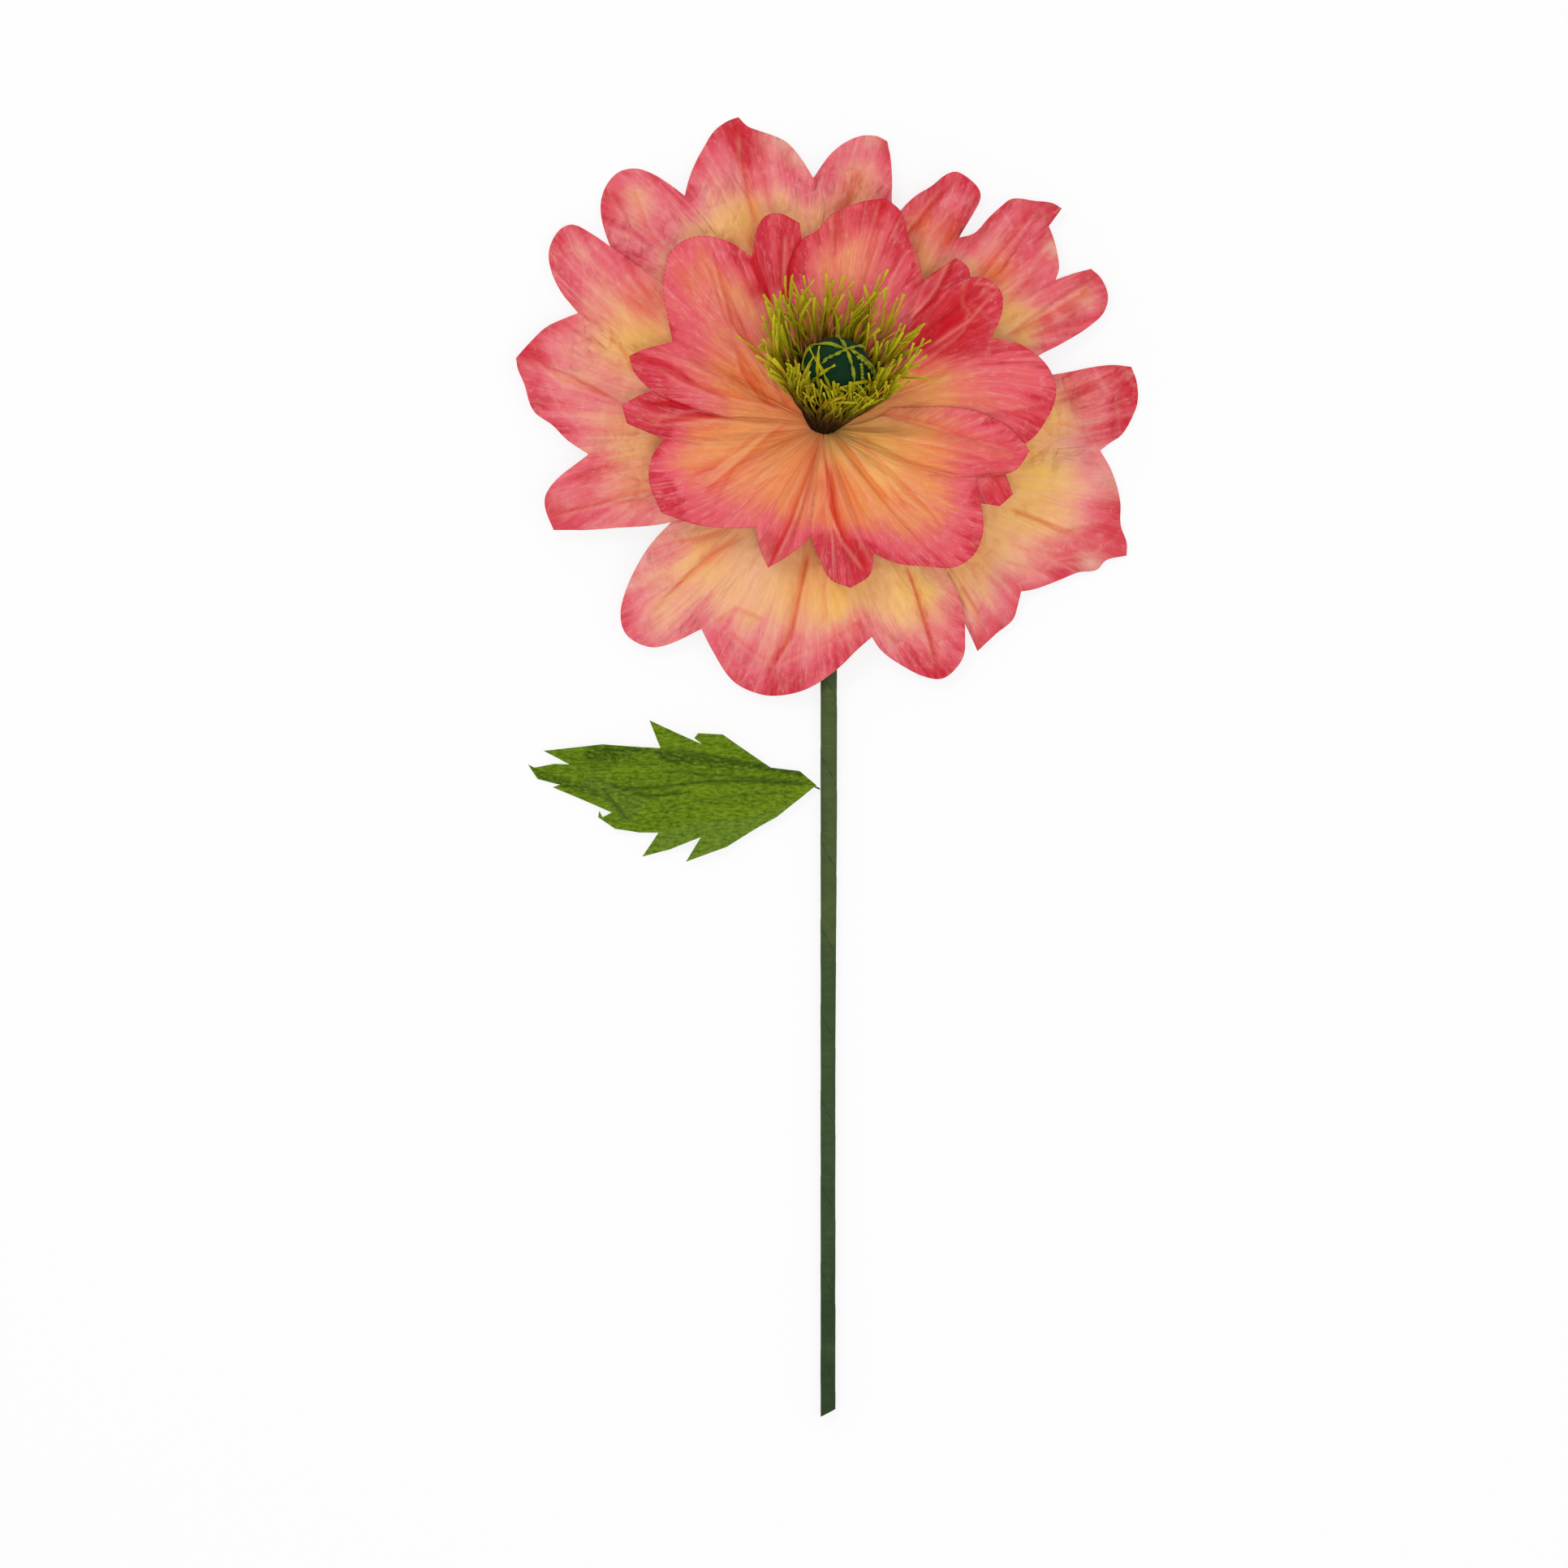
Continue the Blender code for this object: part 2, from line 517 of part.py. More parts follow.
def neck():
    """The wire from the socket to the ball, and the tape from the stem's end round the claws."""
    bend = neck_path()
    foot = [Vector((STEM_X, STEM_TOP_Y - SOCKET_DEPTH + CLEARANCE, WRAP_RADIUS))]
    top = [BALL_CENTRE - AXIS * (BALL_RADIUS - BALL_HOLE_DEPTH + CLEARANCE)]
    wire = foot + bend + top
    add_object("neck_wire", sweep(wire, [WIRE_RADIUS] * len(wire), WIRE_SIDES), "wire")
    claw_top = THROAT - AXIS * (OUTER_CLAW_DROP + TAPE_DROP)
    claw_end = THROAT - AXIS * (OUTER_CLAW_DROP + CLAW_LENGTH)
    path = [bend[0] - Vector((0, NECK_START - CLEARANCE, 0)), *bend, claw_end, claw_top]
    inside = [mix(WRAP_RADIUS - TAPE_THICKNESS, TAPE_RADIUS, smooth(1, len(bend), i))
              for i in range(len(path))]
    outside = [radius + TAPE_THICKNESS for radius in inside]
    add_object("neck_tape", sweep(path, outside, TAPE_SIDES, inside), "stem_paper")


def ball_arc(radius, hole):
    """Profile of a ball of the given radius from its hole at the bottom up to its top."""
    low = math.asin(hole / radius) - math.pi / 2
    turns = [mix(low, math.pi / 2, i / BALL_RINGS) for i in range(BALL_RINGS)]
    return [(radius * math.cos(turn), radius * math.sin(turn)) for turn in turns] + [(0.0, radius)]


def seed_head():
    """The ball with the hole for its wire, its paper cover, and the strips crossed on top."""
    place = Matrix.Translation(BALL_CENTRE) @ HEAD_FRAME.to_4x4()
    core = BALL_RADIUS - COVER_THICKNESS - CLEARANCE
    hole = WIRE_RADIUS + CLEARANCE
    bottom = BALL_HOLE_DEPTH - BALL_RADIUS
    ball = [(0.0, bottom), (hole, bottom), *ball_arc(core, hole)]
    add_object("seed_ball", turned(ball, STEM_SIDES, place), "foam")
    mouth = hole + COVER_MOUTH
    cover = ball_arc(BALL_RADIUS, mouth) + ball_arc(core + CLEARANCE, mouth)[::-1]
    add_object("seed_cover", turned(cover, STEM_SIDES, place), "ball_paper")
    seed_rays()


def ball_direction(x, y):
    """The way from the ball's centre to the point of its upper side over the offset x, y."""
    z = math.sqrt(max(BALL_RADIUS ** 2 - x * x - y * y, 0.0))
    return Vector((x, y, z)).normalized()


def seed_rays():
    """Strips that cross on the ball, one solid: a small hub with an arm to each end."""
    bm = bmesh.new()
    low = BALL_RADIUS + 2 * CLEARANCE
    high = low + RAY_THICKNESS

    def pair(toward):
        """Two points over one spot of the ball, at the strip's under side and upper side."""
        way = toward.normalized()
        return bm.verts.new(BALL_CENTRE + way * low), bm.verts.new(BALL_CENTRE + way * high)

    hub = ball_direction(*HUB_OFFSET)
    ends = sorted((ball_direction(x, y) for x, y in RAY_ENDS),
                  key=lambda end: math.atan2((end - hub).y, (end - hub).x))
    roots = []
    for end in ends:
        along = (end - hub * end.dot(hub)).normalized()
        aside = hub.cross(along) * (RAY_WIDTH / 2)
        middle = hub * BALL_RADIUS + along * HUB_RADIUS
        roots.append((end, along, aside, (pair(middle - aside), pair(middle + aside))))
    for side in (0, 1):
        bm.faces.new([corner[side] for root in roots for corner in root[3]])
    for i, (end, along, aside, last) in enumerate(roots):
        after = roots[(i + 1) % len(roots)][3][0]
        bm.faces.new((last[1][0], after[0], after[1], last[1][1]))
        for step in range(1, RAY_STEPS + 1):
            turn = mix(HUB_RADIUS / BALL_RADIUS, hub.angle(end), step / RAY_STEPS)
            middle = (hub * math.cos(turn) + along * math.sin(turn)) * BALL_RADIUS
            fresh = (pair(middle - aside), pair(middle + aside))
            for side in (0, 1):
                bm.faces.new((last[0][side], last[1][side], fresh[1][side], fresh[0][side]))
                bm.faces.new((last[side][0], last[side][1], fresh[side][1], fresh[side][0]))
            last = fresh
        bm.faces.new((last[0][0], last[1][0], last[1][1], last[0][1]))
    bmesh.ops.triangulate(bm, faces=bm.faces[:])
    add_object("seed_rays", bm, "ray_paper")


def stamen_strip(index):
    """A rolled strip of paper, its upper part cut into a fringe of stamens."""
    shake = random.Random(STAMEN_SEED + index)
    inside = STRIP_RADII[index]
    outside = inside + STRIP_THICKNESS
    spread = math.radians(STAMEN_SPREAD[index])
    start_spread = math.radians(STAMEN_START_SPREAD[index])
    bm = bmesh.new()
    slots = 2 * STRIP_COUNTS[index]
    rings = {}
    for level, height in (("low", -STRIP_HEIGHT), ("high", 0.0)):
        for wall, radius in (("in", inside), ("out", outside)):
            spots = [THROAT + ring_direction(2 * math.pi * i / slots) * radius + AXIS * height
                     for i in range(slots)]
            rings[level, wall] = [bm.verts.new(spot) for spot in spots]
    for i in range(slots):
        j = (i + 1) % slots
        for wall in ("in", "out"):
            bm.faces.new((rings["low", wall][i], rings["low", wall][j], rings["high", wall][j],
                          rings["high", wall][i]))
        bm.faces.new((rings["low", "in"][i], rings["low", "in"][j], rings["low", "out"][j],
                      rings["low", "out"][i]))
        root = [rings["high", "in"][i], rings["high", "in"][j], rings["high", "out"][j],
                rings["high", "out"][i]]
        if i % 2:
            bm.faces.new(root)
            continue
        middle = 2 * math.pi * (i + 0.5) / slots
        length = STAMEN_LENGTH[index] * (1.0 + STAMEN_VARIATION * shake.uniform(-1, 1))
        sway = shake.uniform(-STAMEN_SWAY, STAMEN_SWAY) * STAMEN_WIDTH
        outward = ring_direction(middle)
        aside = AXIS.cross(outward)
        spot = THROAT + outward * (inside + STRIP_THICKNESS / 2)
        last = root
        for step in range(1, STAMEN_STEPS + 1):
            t = step / STAMEN_STEPS
            lean = mix(start_spread, spread, (step - 0.5) / STAMEN_STEPS)
            forward = AXIS * math.cos(lean) + outward * math.sin(lean)
            spot = spot + forward * (length / STAMEN_STEPS) + aside * (sway * math.sin(math.pi * t))
            half = STAMEN_WIDTH / 2 * (STAMEN_TIP if step == STAMEN_STEPS else 1.0)
            out = outward * math.cos(lean) - AXIS * math.sin(lean)
            fresh = [bm.verts.new(spot + out * (a * half) + aside * (b * half))
                     for a, b in ((-1, -1), (-1, 1), (1, 1), (1, -1))]
            for k in range(4):
                bm.faces.new((last[k], last[(k + 1) % 4], fresh[(k + 1) % 4], fresh[k]))
            last = fresh
        bm.faces.new(last)
    bmesh.ops.triangulate(bm, faces=bm.faces[:])
    add_object(f"stamen_strip_{index + 1}", bm, "stamen_paper")


def leaf_height(u, v):
    """Height of the leaf at u from its base and v across: it sinks to its tip, folded on its rib."""
    rib = mix(LEAF_BASE_Z, LEAF_TIP_Z, min(u / LEAF_LENGTH, 1.0))
    aside = v - LEAF_RIB
    fold = LEAF_FOLD * aside if aside > 0.0 else -LEAF_LOWER_FOLD * aside
    wave = math.sin(2 * math.pi * u / LEAF_RIPPLE_LENGTH)
    return rib + fold + LEAF_RIPPLE * wave * smooth(LEAF_RIPPLE_START, LEAF_RIPPLE_FULL, abs(aside))


def leaf():
    """One cut sheet with a fold along its rib."""
    bm = bmesh.new()
    bm.faces.new([bm.verts.new((-u * LEAF_LENGTH, v * LEAF_LENGTH, 0)) for u, v in LEAF_OUTLINE])
    cells = int(LEAF_LENGTH / LEAF_CELL)
    cuts = [((-LEAF_CELL * (i + 1), 0, 0), (1, 0, 0)) for i in range(cells)]
    cuts += [((0, v, 0), (0, 1, 0)) for v in LEAF_CUTS]
    for spot, normal in cuts:
        bmesh.ops.bisect_plane(bm, geom=bm.verts[:] + bm.edges[:] + bm.faces[:], plane_co=spot,
                               plane_no=normal, dist=SAME)
    bmesh.ops.triangulate(bm, faces=bm.faces[:])
    for vert in bm.verts:
        vert.co.z = leaf_height(-vert.co.x, vert.co.y)
    border = [edge for edge in bm.edges if len(edge.link_faces) == 1]
    under = bmesh.ops.duplicate(bm, geom=bm.faces[:])
    twin = under["vert_map"]
    for edge in border:
        first, second = edge.verts
        bm.faces.new((first, second, twin[second], twin[first]))
    for part in under["geom"]:
        if isinstance(part, bmesh.types.BMVert):
            part.co.z -= LEAF_PAPER
    bmesh.ops.translate(bm, verts=bm.verts[:], vec=(LEAF_BASE.x, LEAF_BASE.y, 0))
    add_object("leaf", bm, "leaf_paper")


def leaf_wire():
    """The wire that carries the leaf, from the wrapped stem along the under side of its rib."""
    foot_x = STEM_X - WRAP_RADIUS - CLEARANCE
    path = [Vector((foot_x, LEAF_BASE.y - LEAF_WIRE_FOOT, WRAP_RADIUS))]
    for i in range(LEAF_WIRE_STEPS):
        u = mix(LEAF_WIRE_START, LEAF_WIRE_LENGTH, i / (LEAF_WIRE_STEPS - 1))
        v = LEAF_RIB * smooth(0, LEAF_WIRE_STEPS - 1, i)
        drop = LEAF_PAPER + LEAF_WIRE_GAP + LEAF_WIRE_RADIUS
        path.append(Vector((LEAF_BASE.x - u, LEAF_BASE.y + v, leaf_height(u, v) - drop)))
    add_object("leaf_wire", sweep_along_x(path, LEAF_WIRE_RADIUS, LEAF_WIRE_SIDES), "wire")


def sweep_along_x(points, radius, sides):
    """A thin round wire along points that run in the X direction."""
    bm = bmesh.new()
    circle = [Vector((0, math.cos(2 * math.pi * i / sides), math.sin(2 * math.pi * i / sides)))
              for i in range(sides)]
    rings = [[bm.verts.new(point + way * radius) for way in circle] for point in points]
    for first, second in zip(rings, rings[1:]):
        for i in range(sides):
            j = (i + 1) % sides
            bm.faces.new((first[i], first[j], second[j], second[i]))
    bm.faces.new(rings[0])
    bm.faces.new(rings[-1])
    return bm


def main():
    clear_scene()
    stem()
    neck()
    seed_head()
    for index in range(len(STRIP_COUNTS)):
        stamen_strip(index)
    for name, sheet in OUTER_SHEETS.items():
        petal_sheet(name, sheet, False)
    for name, sheet in INNER_SHEETS.items():
        petal_sheet(name, sheet, True)
    leaf()
    leaf_wire()


main()
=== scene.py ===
"""The looks of the paper poppy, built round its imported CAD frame.

The flower lies on its back on a pale floor and the camera looks straight down on it. Places that
were read off the photograph are written in pixels of its 1932 pixel frame and turned into metres
by spot().
"""

import math
import random

import bmesh
import bpy
import numpy as np
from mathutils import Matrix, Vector


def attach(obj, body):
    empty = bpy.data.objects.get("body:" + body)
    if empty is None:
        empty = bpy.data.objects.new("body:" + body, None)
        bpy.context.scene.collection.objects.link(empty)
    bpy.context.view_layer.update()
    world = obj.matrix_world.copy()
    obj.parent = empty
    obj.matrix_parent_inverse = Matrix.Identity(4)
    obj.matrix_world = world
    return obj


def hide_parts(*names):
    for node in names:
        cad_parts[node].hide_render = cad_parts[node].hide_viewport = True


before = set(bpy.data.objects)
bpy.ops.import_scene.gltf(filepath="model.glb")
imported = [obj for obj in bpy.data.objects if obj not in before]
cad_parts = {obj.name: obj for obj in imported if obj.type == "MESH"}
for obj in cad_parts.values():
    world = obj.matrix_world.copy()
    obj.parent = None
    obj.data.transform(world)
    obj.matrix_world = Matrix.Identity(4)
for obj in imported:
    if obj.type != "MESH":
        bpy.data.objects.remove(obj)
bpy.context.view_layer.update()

PIXEL = 0.0006234
PIXEL_X, PIXEL_Y = 1019.0, 945.0
FRAME_PIXELS = 1932

# Sizes that the CAD source has too, or works out
THROAT = np.array((-0.0025, 0.2606, 0.044))
LEAN, LEAN_AZIMUTH = math.radians(45.0), math.radians(77.0)
STEM_X, STEM_END_Y, STEM_TOP_Y = 0.0008, -0.4969, 0.2120
STEM_CUT_RISE = 0.0062
WRAP_RADIUS = 0.0059
ROD_RADIUS = 0.0051
STALK_LENGTH = 0.060
BALL_RADIUS = 0.0274
STRIP_RADII = (0.0028, 0.0046, 0.0064)
STRIP_THICKNESS = 0.0015
STRIP_HEIGHT = 0.014
OUTER_LENGTH, INNER_LENGTH = 0.252, 0.182
OUTER_CLAW_RADIUS, INNER_CLAW_RADIUS = 0.01035, 0.00875
OUTER_CLAW_DROP = 0.007
CLAW_LENGTH, CLAW_GAP, FLARE = 0.016, 3.5, 0.022
LEVEL_STEP, FOLD_STEP = 0.0026, 0.001
LEAF_BASE = np.array((-0.0081, -0.0140, 0.0072))
LEAF_LENGTH, LEAF_TIP_Z, LEAF_RIB = 0.222, 0.0030, 0.004
NECK_START, NECK_STRAIGHT, NECK_PULL = 0.004, 0.026, 0.45
CLAW_PLEAT, FAN_POWER, FOLD_RUN = 0.0003, 1.6, 0.85
PLAIN_START, PLAIN_END = 0.4, 1.4
OUTER_ROOT_Z, OUTER_TIP_Z, OUTER_REACH, OUTER_POWER = 0.031, 0.0034, 0.245, 1.4
STEM_TENT, STEM_TENT_WIDTH, STEM_TENT_START, STEM_TENT_FULL = 0.009, 0.030, 0.05, 0.13
OUTER_ARCH, INNER_ARCH, ARCH_WIDTH = 1.35, 0.9, 0.016
INNER_ROOT_Z = 0.040
UPPER_RISE, UPPER_REACH, UPPER_POWER = 0.014, 0.180, 2.0
SIDE_RISE, SIDE_REACH, SIDE_POWER = 0.027, 0.160, 0.8
LOWER_ARCH, LOWER_REACH, LOWER_DROOP, LOWER_POWER, LOWER_END = 0.036, 0.125, 0.93, 0.7, 1.05

# The gathered ring is pressed in at its front, by this share of the way down to this radius
PRESSED_RADIUS, PRESS_SHARE = 0.0027, 0.55

# Paper and grid of a petal sheet: rows are at -1 to 0 on its claw, 0 to 1 on the flare and 1 to 2 beyond
PETAL_PAPER = 0.0003
COLUMNS, ROWS = 186, 104
CLAW_ROWS, FLARE_ROWS, RIM_ROW = (-1.0, -0.5), 13, 1.994
LOWEST_PAPER = 0.0006
# A rim bends smoothly up to this angle and has a corner past it
SHARP_CORNER = math.radians(48)
# The reach at which the fibre coordinates across a sheet are true lengths
FIBRE_REACH = 0.16
MILLIMETRE = 0.001
# Cells each way of the random tables
LATTICE = 64

# What differs between the two rings of sheets. The root is the height from which a sheet arches out of
# the throat, pink is (from, to, most) by the share of the way out, and rim_pink (width, blotches, most).
RINGS = {
    "inner": dict(length=INNER_LENGTH, claw_radius=INNER_CLAW_RADIUS, drop=0.0, spread=4.0,
                  root=INNER_ROOT_Z, arch=INNER_ARCH, crumple=0.6, rough=0.4, pink=(0.30, 0.84, 0.66),
                  rim_pink=(0.034, 0.014, 0.36)),
    "outer": dict(length=OUTER_LENGTH, claw_radius=OUTER_CLAW_RADIUS, drop=OUTER_CLAW_DROP, spread=0.0,
                  root=OUTER_ROOT_Z, arch=OUTER_ARCH, crumple=1.0, rough=0.9, pink=(0.60, 0.98, 0.58),
                  rim_pink=(0.040, 0.022, 0.52)),
}

# The petal sheets, with finer rims than in the CAD source. Angles are in degrees round the throat.
# rim: (angle, share of the ring's length) round the free edge
# base: the part of the gathered ring that the sheet starts from
# level: its step up or down in the overlaps, a pair where its two ends differ
# flat: the share of its width at each end that stays plain
# folds: (angle, height in mm, width in degrees)
OUTER_SHEETS = {
    "outer_petal_1": dict(
        base=(71, 140), level=0, flat=(0.12, 0.14),
        rim=((64, 0.373), (70.7, 0.694), (72.3, 0.703), (74.5, 0.782), (76, 0.846), (77.5, 0.897),
             (79.5, 0.906), (83, 0.898), (87.7, 0.85), (92.4, 0.764), (95.3, 0.838), (97.5, 0.882),
             (99.5, 0.904), (102.5, 0.932), (104.2, 0.952), (105.3, 0.985), (107, 0.984), (110.1, 0.968),
             (113, 0.934), (116.1, 0.896), (118.5, 0.863), (120.9, 0.826), (122.5, 0.888), (124, 0.938),
             (126, 0.98), (128.7, 1.002), (132, 0.994), (135.2, 0.96), (139.7, 0.853), (145, 0.694),
             (149, 0.421)),
        folds=((80, -4, 5), (92, 4, 4), (105, -6, 6), (120, 5, 4), (129, -3, 5))),
    "outer_petal_2": dict(
        base=(16, 71), level=1, flat=(0.1, 0.12),
        rim=((11, 0.397), (15, 0.595), (18.6, 0.692), (19.4, 0.76), (21, 0.87), (22.4, 0.924), (24.8, 0.956),
             (28.5, 0.962), (30.8, 0.95), (31.7, 0.9), (32.6, 0.84), (34, 0.866), (36.5, 0.888),
             (39.3, 0.908), (41.9, 0.923), (42.7, 0.989), (44.6, 0.979), (47, 0.948), (50.7, 0.904),
             (51.3, 0.87), (51.9, 0.815), (52.1, 0.762), (52.7, 0.742), (54.5, 0.714), (55, 0.735),
             (55.2, 0.8), (55.6, 0.845), (56.6, 0.866), (60.3, 0.882), (62.8, 0.88), (64.2, 0.86),
             (66, 0.808), (68.5, 0.76), (70.7, 0.697), (77, 0.421)),
        folds=((27, 5, 4), (32, -4, 3), (41, 6, 5), (53, -5, 3), (60, 4, 5))),
    "outer_petal_3": dict(
        base=(-52, 16), level=-1, flat=(0.14, 0.1),
        rim=((-55.4, 0.827), (-50, 0.819), (-45.2, 0.821), (-42.5, 0.803), (-39.6, 0.782), (-37.5, 0.808),
             (-32.8, 0.856), (-29.6, 0.892), (-27.3, 0.94), (-25.2, 0.95), (-22.8, 1.003), (-20.8, 0.99),
             (-18.2, 0.955), (-13.8, 0.932), (-8.5, 0.889), (-4.6, 0.847), (-3, 0.874), (-1.3, 0.909),
             (2, 0.942), (4.9, 0.962), (8.5, 0.966), (11.3, 0.958), (12.4, 0.9), (13, 0.745), (17, 0.373)),
        folds=((-48, 3, 4), (-39, -4, 4), (-23, 6, 6), (-12, 4, 4), (-4, -5, 3), (6, 5, 5))),
    "outer_petal_4": dict(
        base=(-148, -52), level=1, flat=(0.08, 0.08),
        rim=((-155, 0.345), (-148.2, 0.55), (-145.8, 0.645), (-140.7, 0.78), (-137.2, 0.845), (-134, 0.871),
             (-130.5, 0.866), (-127.8, 0.847), (-125.6, 0.811), (-121.3, 0.718), (-116.7, 0.758),
             (-109.7, 0.82), (-105, 0.834), (-100.8, 0.832), (-94, 0.8), (-87, 0.739), (-81, 0.681),
             (-77, 0.654), (-75.5, 0.701), (-70.8, 0.778), (-68, 0.818), (-64.6, 0.846), (-60, 0.83),
             (-58, 0.81), (-56.3, 0.778), (-51.9, 0.683), (-46, 0.373)),
        folds=((-133, 4, 6), (-121, -5, 4), (-106, 5, 6), (-90, -2, 5), (-77, -4, 4), (-66, 5, 5))),
    "outer_petal_5": dict(
        base=(140, 212), level=1.9, flat=(0.14, 0.08),
        rim=((134, 0.373), (139.6, 0.853), (140.1, 0.93), (141, 0.988), (142.6, 1.006), (144.5, 1.009),
             (147.4, 0.996), (149.9, 0.962), (152.4, 0.908), (154.9, 0.828), (157, 0.858), (160, 0.901),
             (164.5, 0.94), (167.2, 0.963), (169, 0.951), (171.5, 0.925), (176.6, 0.887), (179.5, 0.826),
             (182.5, 0.786), (186.4, 0.722), (188.4, 0.768), (191, 0.832), (193.7, 0.874), (196, 0.884),
             (200.7, 0.881), (201.6, 0.845), (203.2, 0.79), (205.5, 0.71), (211.8, 0.544), (216, 0.321)),
        folds=((146, 3, 4), (155, -5, 4), (167, 5, 5), (178, 3, 4), (186, -5, 4), (198, 4, 5))),
}
INNER_SHEETS = {
    "inner_petal_1": dict(
        base=(98, 168), level=-0.6, flat=(0.3, 0.12),
        rim=((90, 0.3791), (96.5, 0.7857), (96.8, 0.8681), (102, 0.9231), (105.5, 0.9231),
             (108.2, 0.8901), (112.9, 0.7802), (117.4, 0.8846), (123.7, 0.967), (130.5, 0.9835),
             (137.9, 0.9121), (145.8, 0.7912), (150.5, 0.7308), (156.9, 0.8297), (160, 0.8736),
             (164, 0.8297), (168.5, 0.7198), (174, 0.4121)),
        folds=((112, -4, 4), (130, 5, 8), (148, -5, 4), (160, 3, 4))),
    "inner_petal_2": dict(
        base=(168, 263), level=-1.6, flat=(0.12, 0.08),
        rim=((163, 0.3791), (168, 0.7363), (173.7, 0.8571), (179, 0.8297), (184.3, 0.6758),
             (190, 0.7363), (196.6, 0.7692), (207.8, 0.7747), (218, 0.6703), (229.6, 0.5604),
             (235.6, 0.511), (242, 0.5769), (248.4, 0.6374), (255.6, 0.5495), (263.5, 0.456),
             (268, 0.3077)),
        folds=((174, 4, 4), (183, -5, 4), (205, 5, 8), (220, 3, 6), (235, -4, 4), (249, 6, 5))),
    "inner_petal_3": dict(
        base=(-97, 2), level=0, flat=(0.08, 0.1),
        rim=((-98, 0.2912), (-96.5, 0.456), (-91.5, 0.5659), (-87.3, 0.6429), (-80.5, 0.6868),
             (-72.4, 0.6484), (-68.6, 0.5714), (-62, 0.6484), (-53.4, 0.7308), (-47, 0.8077),
             (-40.5, 0.8297), (-34, 0.8077), (-28.8, 0.7637), (-18.2, 0.6758), (-12.9, 0.8242),
             (-6.7, 0.8736), (-3.5, 0.8297), (1.3, 0.7527), (7.2, 0.6044), (15.8, 0.3022)),
        folds=((-80, 4, 5), (-69, -5, 4), (-54, 4, 5), (-40, 5, 6), (-27, 3, 4), (-18, -3, 4),
               (-7, 4, 5))),
    "inner_petal_4": dict(
        base=(2, 50), level=(-1.6, 0.9), flat=(0.38, 0.1),
        rim=((-34, 0.3791), (-26.5, 0.7033), (-24.2, 0.8132), (-19.5, 0.8462), (-14.3, 0.7857),
             (-9, 0.7033), (-4.1, 0.8626), (1.5, 0.9341), (8.4, 0.989), (14.9, 0.978), (22.6, 0.9011),
             (28.1, 0.8022), (33, 0.8956), (37.5, 0.9396), (43, 0.9231), (46.5, 0.8571), (49, 0.6868),
             (54, 0.3791)),
        folds=((12, 5, 8), (28, -5, 4), (38, 5, 5))),
    "inner_petal_5": dict(
        base=(50, 98), level=(-0.9, 0.4), flat=(0.14, 0.14),
        rim=((38, 0.3791), (44.4, 0.8681), (47.9, 0.9066), (52, 0.9066), (56.2, 0.7473), (60.6, 0.8132),
             (65.6, 0.8681), (70, 0.9615), (74.9, 1), (80.7, 0.9615), (88, 0.8956), (92, 0.8297),
             (96.5, 0.7967), (102, 0.6868), (107, 0.3791)),
        folds=((49, 4, 4), (57, -4, 5), (75, 4, 8), (86, -2, 3))),
}

